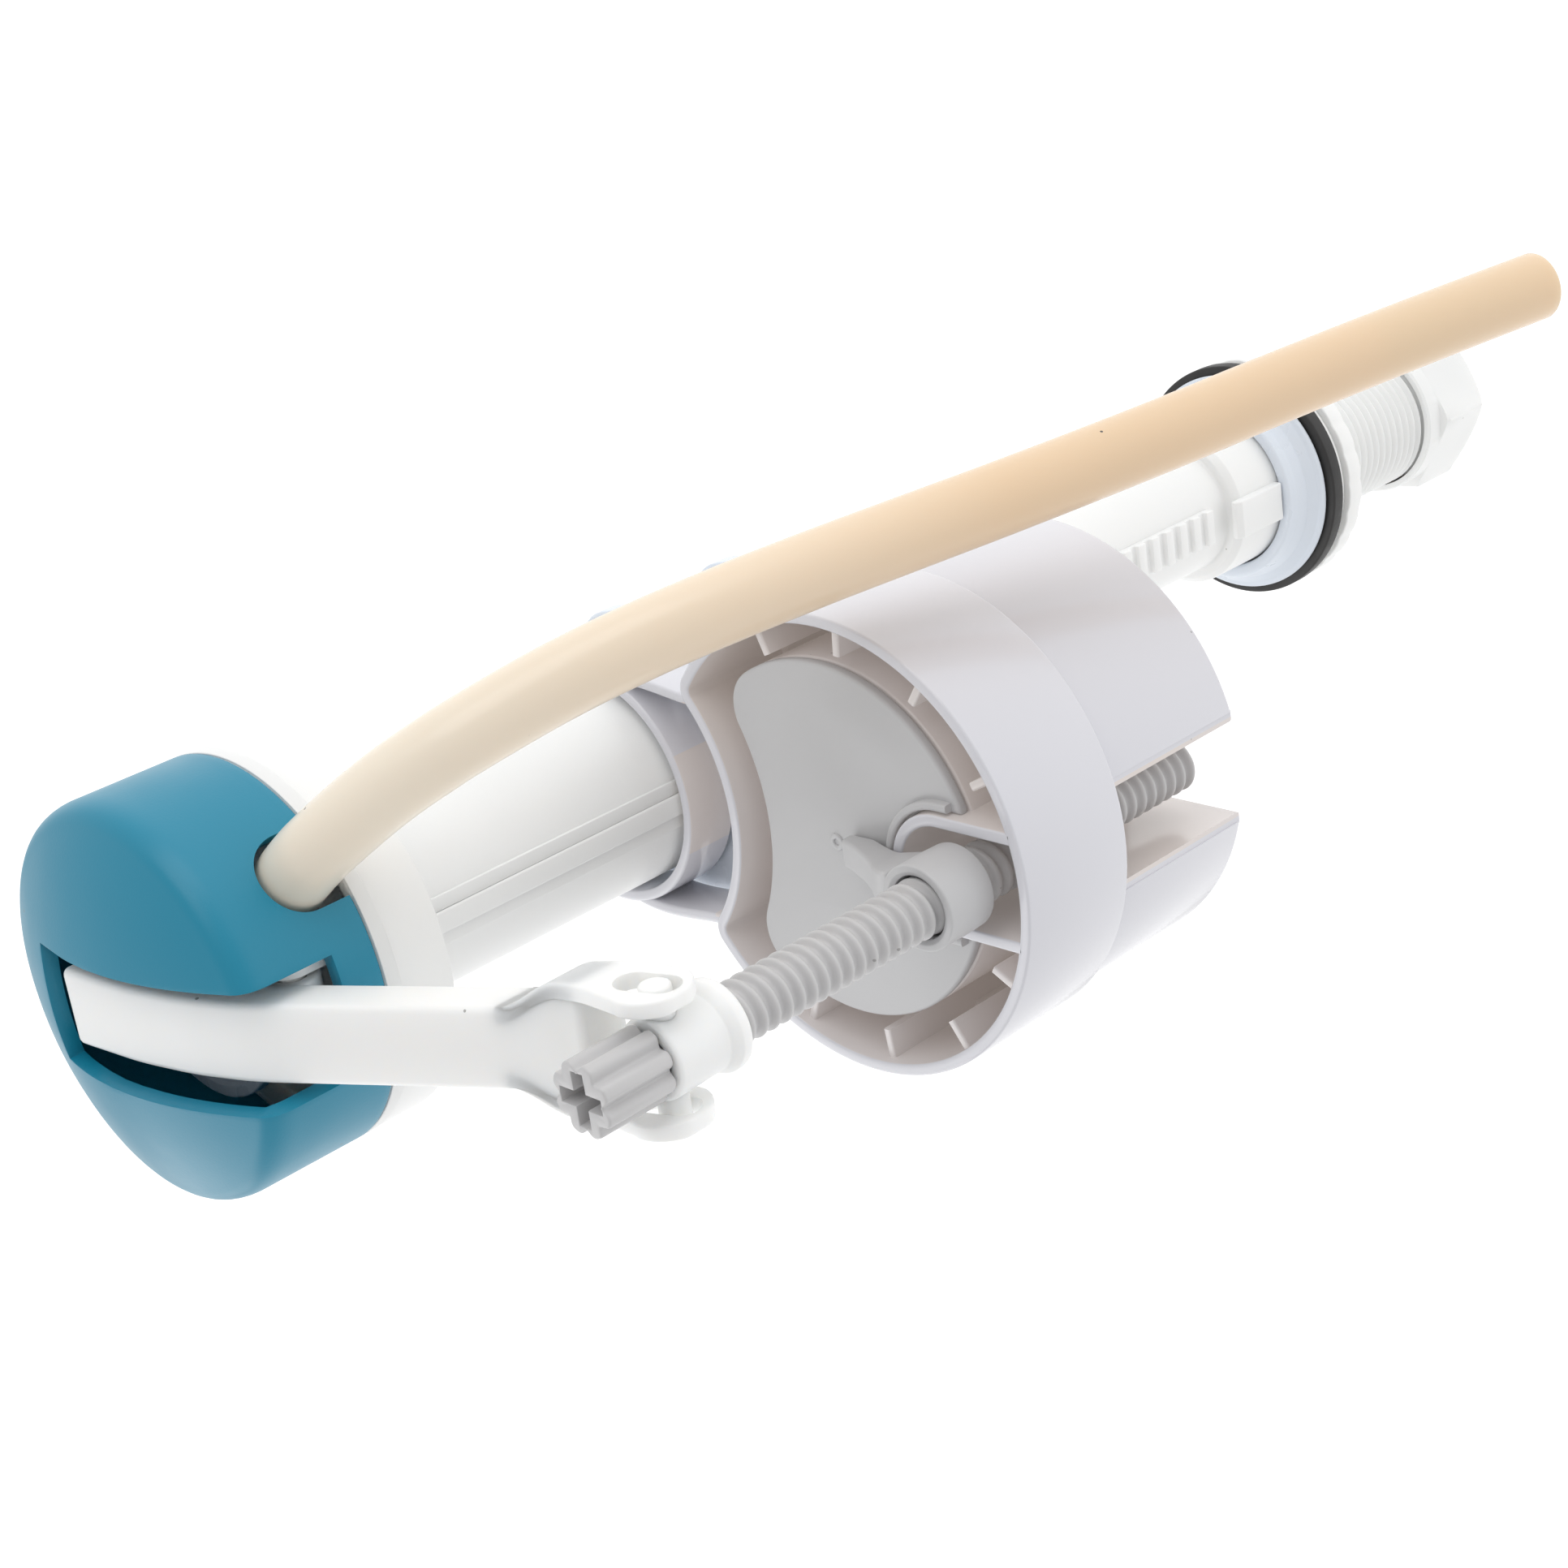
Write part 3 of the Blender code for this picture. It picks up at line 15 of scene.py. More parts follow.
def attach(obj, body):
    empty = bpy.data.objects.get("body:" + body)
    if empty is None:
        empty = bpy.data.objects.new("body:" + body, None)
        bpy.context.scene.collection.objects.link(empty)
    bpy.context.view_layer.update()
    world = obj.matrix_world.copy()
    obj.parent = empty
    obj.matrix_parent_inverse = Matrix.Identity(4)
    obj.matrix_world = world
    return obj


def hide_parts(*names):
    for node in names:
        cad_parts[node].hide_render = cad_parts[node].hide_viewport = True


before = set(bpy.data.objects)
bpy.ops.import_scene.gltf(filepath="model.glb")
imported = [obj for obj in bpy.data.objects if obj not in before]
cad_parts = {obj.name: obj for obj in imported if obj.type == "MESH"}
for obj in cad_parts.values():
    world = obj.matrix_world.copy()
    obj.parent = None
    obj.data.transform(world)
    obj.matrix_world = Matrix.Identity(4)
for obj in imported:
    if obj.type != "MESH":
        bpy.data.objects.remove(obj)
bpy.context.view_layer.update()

# ======================================================================================
# Lower riser: one white acetal moulding.  A fine thread runs down the shank, a thick foot
# stands on the flange, and a notched rail for the height lock runs up its front.
# ======================================================================================
TUBE_R, TUBE_BORE_R, TUBE_TOP = 10.4, 8.0, 155.0
SHANK_ROOT_R, SHANK_CREST_R, SHANK_PITCH, SHANK_END = 10.9, 11.9, 1.814, -39.0
FLANGE_Z = 2.9
RAIL_FOOT, RAIL_TOP, RAIL_PITCH, RAIL_WIDTH = 24.0, 146.0, 3.5, 5.6


def skin(name, grid, rows_ring=True, columns_ring=True, lids=False, sharp=38.0):
    """A closed mesh from a rows x columns grid of millimetre points.

    Point (i, j) is joined to (i+1, j), (i+1, j+1) and (i, j+1), and the last row or column
    to the first where it is a ring.  Lids fill the first and the last row with one face.
    """
    rows, columns = grid.shape[:2]
    index = np.arange(rows * columns).reshape(rows, columns)
    if rows_ring:
        index = np.concatenate([index, index[:1]])
    if columns_ring:
        index = np.concatenate([index, index[:, :1]], axis=1)
    faces = np.stack([index[:-1, :-1], index[1:, :-1], index[1:, 1:], index[:-1, 1:]],
                     axis=-1).reshape(-1, 4).tolist()
    if lids:
        faces += [list(range(columns)), list(range((rows - 1) * columns, rows * columns))]
    mesh = bpy.data.meshes.new(name)
    mesh.from_pydata((grid.reshape(-1, 3) * 0.001).tolist(), [], faces)
    shape = bmesh.new()
    shape.from_mesh(mesh)
    bmesh.ops.remove_doubles(shape, verts=shape.verts, dist=1e-6)
    bmesh.ops.dissolve_degenerate(shape, edges=shape.edges, dist=1e-7)
    bmesh.ops.recalc_face_normals(shape, faces=shape.faces)
    shape.to_mesh(mesh)
    shape.free()
    mesh.shade_smooth()
    mesh.set_sharp_from_angle(angle=math.radians(sharp))
    piece = bpy.data.objects.new(name, mesh)
    bpy.context.scene.collection.objects.link(piece)
    return piece


def moulded_as_one(name, parts):
    """Puts the shells of one moulding into one mesh."""
    shape = bmesh.new()
    for part in parts:
        shape.from_mesh(part.data)
        bpy.data.objects.remove(part)
    mesh = bpy.data.meshes.new(name)
    shape.to_mesh(mesh)
    shape.free()
    mesh.set_sharp_from_angle(angle=math.radians(38))
    piece = bpy.data.objects.new(name, mesh)
    bpy.context.scene.collection.objects.link(piece)
    return piece


def eased(corners, ease, steps=4):
    """A closed outline whose corners become arcs that touch both sides.

    An arc of radius r starts r / tan(half the corner) from it, at most 0.48 of a side.  It is
    the rational quadratic through start, corner and end whose middle weight is sin(half).
    """
    corners = np.asarray(corners, float)
    back = np.roll(corners, 1, axis=0) - corners
    ahead = np.roll(corners, -1, axis=0) - corners
    back_run, ahead_run = np.linalg.norm(back, axis=1), np.linalg.norm(ahead, axis=1)
    back, ahead = back / back_run[:, None], ahead / ahead_run[:, None]
    half = np.arccos(np.clip((back * ahead).sum(axis=1), -1, 1)) / 2
    reach = np.minimum(ease / np.maximum(np.tan(half), 1e-6), 0.48 * np.minimum(back_run, ahead_run))
    start, end = corners + back * reach[:, None], corners + ahead * reach[:, None]
    t = np.linspace(0, 1, steps + 1)[None, :, None]
    weights = (1 - t) ** 2, 2 * np.sin(half)[:, None, None] * t * (1 - t), t ** 2
    arcs = weights[0] * start[:, None] + weights[1] * corners[:, None] + weights[2] * end[:, None]
    return (arcs / sum(weights)).reshape(-1, corners.shape[1])


def turned(name, corners, ease=0.35, sides=112, middle=(0, 0, 0), along=(0, 0, 1)):
    """Turns a closed (radius, height) section: middle + r cos a u + r sin a v + h along."""
    corners = np.asarray(corners, float)
    section = eased(corners, np.where(corners[:, 0] < 1e-6, 0.0, ease))
    along = np.asarray(along, float) / np.linalg.norm(along)
    u = np.cross(along, (0.0, 1.0, 0.0) if abs(along[1]) < 0.9 else (1.0, 0.0, 0.0))
    u /= np.linalg.norm(u)
    v = np.cross(along, u)
    angle = (np.arange(sides) * 2 * np.pi / sides)[:, None, None]
    radius, height = section[None, :, :1], section[None, :, 1:]
    return skin(name, np.asarray(middle) + radius * (np.cos(angle) * u + np.sin(angle) * v) + height * along)


def screwed(root, crest, pitch, low, high, bluntness, fade, around=48, per_pitch=10):
    """Rows of a thread's outer surface: r = root + (crest - root) * ridge(z / pitch - a / 2 pi).

    The ridge is (1 + tanh(k cos 2 pi p) / tanh k) / 2, a cosine that k makes blunt, and it
    sinks to the root over the fade length at both ends.
    """
    height = np.linspace(low, high, int((high - low) / pitch * per_pitch))[:, None]
    angle = (np.arange(around) * 2 * np.pi / around)[None]
    wave = np.tanh(bluntness * np.cos(2 * np.pi * height / pitch - angle)) / np.tanh(bluntness)
    rise = np.clip(np.minimum(height - low, high - height) / fade, 0, 1)
    radius = root + (crest - root) * (0.5 + 0.5 * wave) * rise
    return np.stack([radius * np.cos(angle), radius * np.sin(angle), height + 0 * angle], axis=-1)


def ring_row(radius, height, around=48):
    """One circle of grid points."""
    angle = np.arange(around) * 2 * np.pi / around
    return np.stack([radius * np.cos(angle), radius * np.sin(angle), height + 0 * angle], axis=-1)[None]


def moulding_group():
    """Node group of a moulded surface: slow mottling, fine grain, rubbed patches and dust.

    Colour runs from Colour to Shade with a slow noise, and Dust darkens the cores of a few
    Voronoi cells.  Roughness adds Rubbing times a mid-size noise.  Normal comes from a bump
    of fine grain over the slow swell that cooling leaves in thick plastic.
    """
    group = bpy.data.node_groups.new("moulded surface", "ShaderNodeTree")
    for name, kind in (("Colour", "NodeSocketColor"), ("Shade", "NodeSocketColor"),
                       ("Roughness", "NodeSocketFloat"), ("Rubbing", "NodeSocketFloat"),
                       ("Mottle Size", "NodeSocketFloat"), ("Grain Size", "NodeSocketFloat"),
                       ("Grain", "NodeSocketFloat"), ("Dust", "NodeSocketFloat")):
        group.interface.new_socket(name=name, in_out="INPUT", socket_type=kind)
    for name, kind in (("Colour", "NodeSocketColor"), ("Roughness", "NodeSocketFloat"),
                       ("Normal", "NodeSocketVector")):
        group.interface.new_socket(name=name, in_out="OUTPUT", socket_type=kind)
    nodes, link = group.nodes, group.links.new
    given, out = nodes.new("NodeGroupInput"), nodes.new("NodeGroupOutput")
    place = nodes.new("ShaderNodeTexCoord").outputs["Object"]

    def noise(size_socket, detail):
        made = nodes.new("ShaderNodeTexNoise")
        made.inputs["Detail"].default_value = detail
        link(place, made.inputs["Vector"])
        link(size_socket, made.inputs["Scale"])
        return made.outputs["Fac"]

    def sum_of(kind, one, two, clamp=False):
        made = nodes.new("ShaderNodeMath")
        made.operation, made.use_clamp = kind, clamp
        for socket, value in zip(made.inputs, (one, two)):
            if isinstance(value, float):
                socket.default_value = value
            else:
                link(value, socket)
        return made.outputs[0]

    def tint(factor, one, two):
        made = nodes.new("ShaderNodeMix")
        made.data_type = "RGBA"
        link(factor, made.inputs["Factor"])
        for socket, value in ((made.inputs[6], one), (made.inputs[7], two)):
            if isinstance(value, tuple):
                socket.default_value = value
            else:
                link(value, socket)
        return made.outputs[2]

    slow = noise(given.outputs["Mottle Size"], 2.0)
    spread = sum_of("MULTIPLY_ADD", slow, 1.6)
    spread.node.inputs[2].default_value = -0.3
    spread.node.use_clamp = True
    rubbed = noise(sum_of("MULTIPLY", given.outputs["Mottle Size"], 5.0), 4.0)
    cells = nodes.new("ShaderNodeTexVoronoi")
    link(place, cells.inputs["Vector"])
    cells.inputs["Scale"].default_value = 420.0
    lone = nodes.new("ShaderNodeSeparateColor")
    link(cells.outputs["Color"], lone.inputs[0])
    core = sum_of("LESS_THAN", cells.outputs["Distance"], 0.10)
    few = sum_of("GREATER_THAN", lone.outputs[0], 0.975)
    speck = sum_of("MULTIPLY", sum_of("MULTIPLY", core, few), given.outputs["Dust"])
    base = tint(spread, given.outputs["Colour"], given.outputs["Shade"])
    link(tint(speck, base, (0.10, 0.09, 0.08, 1.0)), out.inputs["Colour"])
    rubbing = sum_of("MULTIPLY", given.outputs["Rubbing"], sum_of("SUBTRACT", rubbed, 0.5))
    link(sum_of("ADD", given.outputs["Roughness"], rubbing, True), out.inputs["Roughness"])
    swell = nodes.new("ShaderNodeBump")
    swell.inputs["Strength"].default_value = 0.08
    swell.inputs["Distance"].default_value = 0.0004
    link(slow, swell.inputs["Height"])
    grain = nodes.new("ShaderNodeBump")
    grain.inputs["Distance"].default_value = 0.00004
    link(given.outputs["Grain"], grain.inputs["Strength"])
    link(noise(given.outputs["Grain Size"], 3.0), grain.inputs["Height"])
    link(swell.outputs[0], grain.inputs["Normal"])
    link(grain.outputs[0], out.inputs["Normal"])
    return group


moulded_surface = moulding_group()


def plastic(name, colour, shade, roughness, rubbing=0.12, mottle=28.0, grain_size=2600.0, grain=0.35,
            dust=0.0, glow=0.0, coat=0.0, ior=1.48):
    """A moulded plastic: the surface group on a Principled shader, with light let into it by glow."""
    made = bpy.data.materials.new(name)
    made.use_nodes = True
    nodes, link = made.node_tree.nodes, made.node_tree.links.new
    shader = nodes["Principled BSDF"]
    surface = nodes.new("ShaderNodeGroup")
    surface.node_tree = moulded_surface
    surface.inputs["Colour"].default_value = (*colour, 1.0)
    surface.inputs["Shade"].default_value = (*shade, 1.0)
    for socket, value in (("Roughness", roughness), ("Rubbing", rubbing), ("Mottle Size", mottle),
                          ("Grain Size", grain_size), ("Grain", grain), ("Dust", dust)):
        surface.inputs[socket].default_value = value
    link(surface.outputs["Colour"], shader.inputs["Base Color"])
    link(surface.outputs["Roughness"], shader.inputs["Roughness"])
    link(surface.outputs["Normal"], shader.inputs["Normal"])
    shader.inputs["IOR"].default_value = ior
    shader.inputs["Coat Weight"].default_value = coat
    shader.inputs["Coat Roughness"].default_value = 0.12
    if glow:
        shader.inputs["Subsurface Weight"].default_value = glow
        shader.inputs["Subsurface Radius"].default_value = (1.0, 0.9, 0.8)
        shader.inputs["Subsurface Scale"].default_value = 0.003
    return made


def fit(piece, material, slot, body, *nodes):
    """Gives a piece its material, lets it ride on its body and stand for its nodes; the slot is not used."""
    piece.data.materials.clear()
    piece.data.materials.append(material)
    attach(piece, body)
    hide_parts(*nodes)
    return piece


white_acetal = plastic("white acetal", (0.91, 0.915, 0.905), (0.88, 0.885, 0.88), 0.33, glow=0.12, dust=0.5)
bore = np.concatenate([ring_row(9.4, FLANGE_Z), ring_row(TUBE_BORE_R, FLANGE_Z),
                       ring_row(TUBE_BORE_R, SHANK_END), ring_row(9.9, SHANK_END)])
shank = skin("shank", np.concatenate([screwed(SHANK_ROOT_R - 0.1, SHANK_CREST_R, SHANK_PITCH, SHANK_END + 0.3,
                                              FLANGE_Z, 0.6, 1.2), bore]))
tube = turned("tube", [
    (TUBE_BORE_R, FLANGE_Z), (15.5, FLANGE_Z), (15.5, 4.6), (12.8, 4.6), (12.8, 18.0), (11.8, 19.0), (TUBE_R, 19.0),
    (TUBE_R, TUBE_TOP), (TUBE_BORE_R + 0.4, TUBE_TOP), (TUBE_BORE_R, TUBE_TOP - 0.8)], 0.5)


def bar_across(name, outline, half_width, ease=0.3):
    """A bar whose XZ outline runs from -half_width to +half_width in y, its edges eased.

    Rows step across the bar; near each side the outline shrinks along its own normals by
    e (1 - cos a) while y moves in by e (1 - sin a).
    """
    outline = np.asarray(outline, float)
    tangent = np.roll(outline, -1, axis=0) - np.roll(outline, 1, axis=0)
    area = (outline[:, 0] * np.roll(outline[:, 1], -1) - np.roll(outline[:, 0], -1) * outline[:, 1]).sum()
    normal = np.stack([tangent[:, 1], -tangent[:, 0]], axis=1) * np.sign(area)
    normal /= np.linalg.norm(normal, axis=1)[:, None]
    turn = np.linspace(0, np.pi / 2, 4)
    inset = np.concatenate([ease * (1 - np.sin(turn)), ease * (1 - np.cos(turn))])
    across = np.concatenate([-half_width + ease * (1 - np.cos(turn)), half_width - ease * (1 - np.sin(turn))])
    flat = outline[None] - normal[None] * inset[:, None, None]
    y = np.broadcast_to(across[:, None], flat.shape[:2])
    return skin(name, np.stack([flat[..., 0], y, flat[..., 1]], axis=-1), rows_ring=False, lids=True)


steps = np.arange(int((RAIL_TOP - RAIL_FOOT) / RAIL_PITCH))[:, None] * RAIL_PITCH + RAIL_FOOT
tooth_x = np.array([TUBE_R + 1.1, TUBE_R + 1.1, TUBE_R + 0.35, TUBE_R + 0.35])
tooth_z = np.array([0.0, RAIL_PITCH / 2, RAIL_PITCH / 2 + 0.15, RAIL_PITCH - 0.15])
teeth = np.stack([np.broadcast_to(tooth_x, (len(steps), 4)), steps + tooth_z], axis=-1).reshape(-1, 2)
rail_outline = np.concatenate([[(TUBE_R - 0.7, RAIL_FOOT - 0.1)], teeth, [(TUBE_R - 0.7, teeth[-1, 1])]])
rail = bar_across("rail", eased(rail_outline, 0.18, 2), RAIL_WIDTH / 2, 0.15)
tab = bar_across("tab", eased([(12.2, 8.8), (13.9, 8.8), (13.9, 19.5), (13.2, 20.5), (12.2, 20.5)], 0.4), 3.1)
seam = bar_across("seam", eased([(-TUBE_R - 0.12, 19.5), (-TUBE_R + 0.4, 19.5), (-TUBE_R + 0.4, TUBE_TOP - 2),
                                 (-TUBE_R - 0.12, TUBE_TOP - 2)], 0.05, 1), 0.12, 0.05)
lower_riser = fit(moulded_as_one("valve_shank_and_lower_riser", [shank, tube, rail, tab, seam]),
                  white_acetal, "white_acetal", "base", "lower_riser")

# ======================================================================================
# Flange skirt and shank washer: a bluish-white ring flares from the foot over a flat black
# rubber washer, which seals the valve against the tank's floor.
# ======================================================================================
cool_white = plastic("cool white plastic", (0.76, 0.81, 0.88), (0.70, 0.76, 0.84), 0.28, glow=0.1, dust=0.3)
black_rubber = plastic("black rubber", (0.018, 0.018, 0.019), (0.030, 0.029, 0.028), 0.52, 0.3, 60.0, 1500.0, 0.8,
                       dust=0.0)
skirt = turned("flared_skirt", [
    (13.1, 4.9), (15.8, 4.9), (15.8, 2.9), (18.3, 2.9), (18.3, 3.7), (17.4, 4.0), (16.1, 5.2), (15.4, 6.9),
    (15.0, 8.6), (13.1, 8.6)], 0.6)
fit(skirt, cool_white, "cool_white_plastic", "base", "flange_skirt")
washer = turned("tank_washer", [(12.2, 0.0), (19.6, 0.0), (19.6, 2.6), (12.2, 2.6)], 0.35, 128)
fit(washer, black_rubber, "black_rubber", "base", "shank_washer")

# ======================================================================================
# Inlet screen and flow restrictor: a slotted white strainer cup and a black rubber orifice
# ring that sit inside the shank.
# ======================================================================================
for node in ("inlet_screen", "flow_restrictor"):
    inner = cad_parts[node]
    inner.data.materials.clear()
    inner.data.materials.append(white_acetal if node == "inlet_screen" else black_rubber)

# ======================================================================================
# Slip washer and lock nut: two white acetal discs that clamp the tank's floor from below.
# The nut's rim has finger flutes and its hub stands a little proud.
# ======================================================================================
fit(turned("slip_washer_disc", [(12.2, -1.7), (18.6, -1.7), (18.6, -0.3), (12.2, -0.3)], 0.3), white_acetal,
    "white_acetal", "slip", "slip_washer")


def fluted(name, section, flutes, depth, sharpness, sides=192):
    """Turns a section whose rim is fluted: r = radius - share * depth * |cos(n a / 2)|^sharpness.

    Each section point is (radius, height, share of the flute's depth).
    """
    section = np.asarray(section, float)
    angle = (np.arange(sides) * 2 * np.pi / sides)[:, None]
    dip = depth * np.abs(np.cos(flutes * angle / 2)) ** sharpness
    radius = section[None, :, 0] - section[None, :, 2] * dip
    height = np.broadcast_to(section[None, :, 1], radius.shape)
    return skin(name, np.stack([radius * np.cos(angle), radius * np.sin(angle), height], axis=-1))


nut_section = eased([(12.2, -6.0, 0), (15.0, -6.0, 0), (15.2, -5.6, 0), (19.5, -5.4, 1), (19.5, -2.0, 1),
                     (12.2, -2.0, 0)], 0.3)
fit(fluted("lock_nut_disc", nut_section, 24, 0.22, 8), white_acetal, "white_acetal", "nut", "lock_nut")

# ======================================================================================
# Supply coupling: a hex nut with a round collar holds a rubber cone washer and a white
# friction ring against the shank's mouth.  Its corners are turned off at both ends.
# ======================================================================================
HEX_HALF = 13.0


def hex_nut(name, section, sides=216):
    """Turns a section, but where its flag is 1 the radius is the hexagon's if that is less.

    The hexagon's radius is half / cos(a') with a' measured from the nearest flat's middle.
    A soft minimum, (h^-40 + r^-40)^(-1/40), eases the corner where hexagon and cone meet.
    """
    section = np.asarray(section, float)
    angle = (np.arange(sides) * 2 * np.pi / sides)[:, None]
    flat = (angle + np.pi / 6 + np.pi / 6) % (np.pi / 3) - np.pi / 6
    hexagon = HEX_HALF / np.cos(flat)
    plain = np.broadcast_to(section[None, :, 0], (sides, len(section)))
    held = (hexagon ** -40.0 + np.maximum(plain, 1.0) ** -40.0) ** (-1 / 40)
    radius = np.where(section[None, :, 2] > 0.5, held, plain)
    height = np.broadcast_to(section[None, :, 1], radius.shape)
    return skin(name, np.stack([radius * np.cos(angle), radius * np.sin(angle), height], axis=-1), sharp=30)


hex_section = [(8.3, -51.1, 0), (12.5, -51.1, 0), (12.8, -51.1, 1), (13.6, -50.6, 1), (14.4, -50.0, 1),
               (15.4, -49.2, 1), (15.4, -44.0, 1), (15.4, -39.2, 1), (14.6, -38.7, 1), (13.7, -38.5, 1),
               (13.3, -38.3, 0), (13.3, -35.4, 0), (13.0, -35.0, 0), (12.2, -35.0, 0), (12.2, -48.1, 0),
               (8.3, -48.1, 0)]
fit(hex_nut("coupling_nut_hex", hex_section), white_acetal, "white_acetal", "supply_nut", "coupling_nut")
fit(turned("cone_washer_rubber", [(5.2, -46.3), (11.9, -46.3), (11.9, -43.8), (7.4, -39.3), (5.2, -39.3)], 0.5),
    black_rubber, "black_rubber", "supply_washers", "cone_washer")
fit(turned("friction_ring_disc", [(7.0, -47.8), (11.9, -47.8), (11.9, -46.6), (7.0, -46.6)], 0.2),
    white_acetal, "white_acetal", "supply_washers", "friction_ring")

# ======================================================================================
# Upper riser: a plain white tube with one guide rib towards the float, its end flange
# caught in the lock ring, with the inlet tube and its O-ring sliding inside it.
# ======================================================================================
riser_wall = turned("riser_wall", [
    (12.6, 116.0), (16.0, 116.0), (16.0, 118.5), (14.3, 118.5), (14.3, 195.98), (12.6, 195.98)], 0.4, 128)
rib = bar_across("rib", eased([(13.6, 139.0), (14.85, 139.0), (14.98, 140.5), (14.98, 193.8), (13.6, 193.8)], 0.25),
                 1.5, 0.35)
low_rib = bar_across("low_rib", eased([(13.9, 139.0), (14.42, 139.5), (14.42, 193.8), (13.9, 193.8)], 0.1), 3.3, 0.1)
fit(moulded_as_one("riser_tube_wall", [riser_wall, rib, low_rib]), white_acetal, "white_acetal", "riser",
    "riser_tube")
fit(turned("inlet_tube_wall", [
    (5.0, 85.0), (7.6, 85.0), (7.6, 87.6), (6.0, 87.6), (6.0, 89.6), (7.6, 89.6), (7.6, 92.2), (6.4, 93.4),
    (6.4, 199.7), (5.0, 199.7)], 0.25, 64), white_acetal, "white_acetal", "riser", "inlet_tube")
for node in ("riser_gasket", "slide_oring"):
    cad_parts[node].data.materials.clear()
    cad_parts[node].data.materials.append(black_rubber)

# ======================================================================================
# Height lock ring: a bluish-white spool round the riser's foot.  Its two lips carry finger
# grips, and turning it frees the riser to slide.
# ======================================================================================
lock_section = eased([(12.1, 112.2, 0), (22.0, 112.2, 1), (22.0, 115.7, 1), (18.9, 117.0, 0), (18.5, 118.2, 0),
                      (18.5, 131.6, 0), (18.9, 132.8, 0), (22.0, 134.0, 1), (22.0, 137.5, 1), (14.7, 137.5, 0),
                      (14.7, 118.8, 0), (16.35, 118.8, 0), (16.35, 115.7, 0), (12.1, 115.7, 0)], 0.45)
fit(fluted("lock_ring_spool", lock_section, 6, 1.1, 14), cool_white, "cool_white_plastic", "lock_ring",
    "height_lock_ring")

# ======================================================================================
# Head: a white acetal drum under the cap.  A deck closes it over the riser, a chamber wall
# holds the valve works, two posts carry the lever's pin, and a boss feeds the refill hose.
# ======================================================================================
HOSE_AZIMUTH = math.radians(41.0)
HOSE_WAY = (math.cos(HOSE_AZIMUTH), math.sin(HOSE_AZIMUTH), 0.0)
NIPPLE_Z = 208.2
PIN_X, PIN_Z = 19.5, 212.0

drum = turned("drum", [
    (5.0, 206.0), (6.3, 206.0), (8.5, 204.2), (8.5, 200.4), (13.2, 200.4), (13.2, 210.2), (15.0, 210.2),
    (15.0, 200.4), (23.9, 200.4), (23.9, 203.7), (25.9, 203.7), (25.9, 194.1), (23.9, 194.1), (23.9, 198.0),
    (16.8, 198.0), (16.8, 194.1), (14.6, 194.1), (14.6, 198.0), (8.5, 198.0), (8.5, 194.6), (6.7, 194.6),
    (6.7, 200.0), (5.0, 200.0)], 0.4, 144)
band = turned("band", [(25.4, 201.6), (26.0, 201.6), (26.0, 203.6), (25.4, 203.6)], 0.15, 144)
posts = []
for side in (-1, 1):
    arc_angle = np.linspace(0, np.pi, 16)
    outline = np.concatenate([[(PIN_X - 3, 199.6), (PIN_X + 3, 199.6)], np.stack([
        PIN_X + 3 * np.cos(arc_angle), PIN_Z + 3 * np.sin(arc_angle)], axis=1)])
    post = bar_across("post", outline, 0.95, 0.25)
    post.data.transform(Matrix.Translation((0, side * 0.0067, 0)))
    posts.append(post)
boss = bar_across("boss", eased([(14.2, 199.5), (17.8, 199.5), (17.8, 209.9), (14.2, 209.9)], 0.4), 4.4)
boss.data.transform(Matrix.Rotation(HOSE_AZIMUTH, 4, "Z"))
fit(moulded_as_one("head_drum", [drum, band, *posts, boss]), white_acetal, "white_acetal", "riser", "head_body")
fit(turned("refill_barb", [(2.2, 18.1), (4.4, 18.1), (4.4, 19.3), (3.4, 19.5), (3.4, 21.4), (3.0, 22.0), (2.2, 22.0)],
           0.2, 48, (0, 0, NIPPLE_Z), HOSE_WAY), white_acetal, "white_acetal", "riser", "refill_nipple")

# ======================================================================================
# Refill hose: a soft cream vinyl tube pushed over the head's barb.  It leaves the head
# level, bends down under its own weight and hangs beside the riser with its end cut square.
# ======================================================================================
HOSE_R, HOSE_BORE_R = 4.5, 3.1
HOSE_ROUTE = np.array([
    (16.83, 14.63, 208.20), (18.87, 16.40, 208.15), (22.6, 19.7, 207.2), (27.7, 24.0, 204.6),
    (31.8, 27.4, 201.6), (35.4, 30.1, 198.1), (38.6, 32.4, 194.2), (43.8, 35.9, 185.5),
    (48.2, 38.3, 175.7), (51.9, 39.8, 165.0), (55.3, 40.8, 153.4), (58.5, 41.5, 141.2),
    (61.6, 42.1, 128.5), (64.7, 42.8, 115.2), (68.0, 43.7, 101.5), (71.2, 44.7, 87.3),
    (74.6, 45.7, 72.6), (78.2, 46.6, 57.3), (81.9, 47.4, 41.3)])


def smooth_route(route, per_span=10):
    """Catmull-Rom curve through a route: each span is the cubic of its two ends and neighbours."""
    knots = np.concatenate([[2 * route[0] - route[1]], route, [2 * route[-1] - route[-2]]])
    before, start, end, after = (knots[k:len(knots) - 3 + k, None] for k in range(4))
    t = (np.arange(per_span) / per_span)[None, :, None]
    curve = 0.5 * (2 * start + (end - before) * t + (2 * before - 5 * start + 4 * end - after) * t ** 2
                   + (3 * start - before - 3 * end + after) * t ** 3)
    return np.concatenate([curve.reshape(-1, 3), route[-1:]])


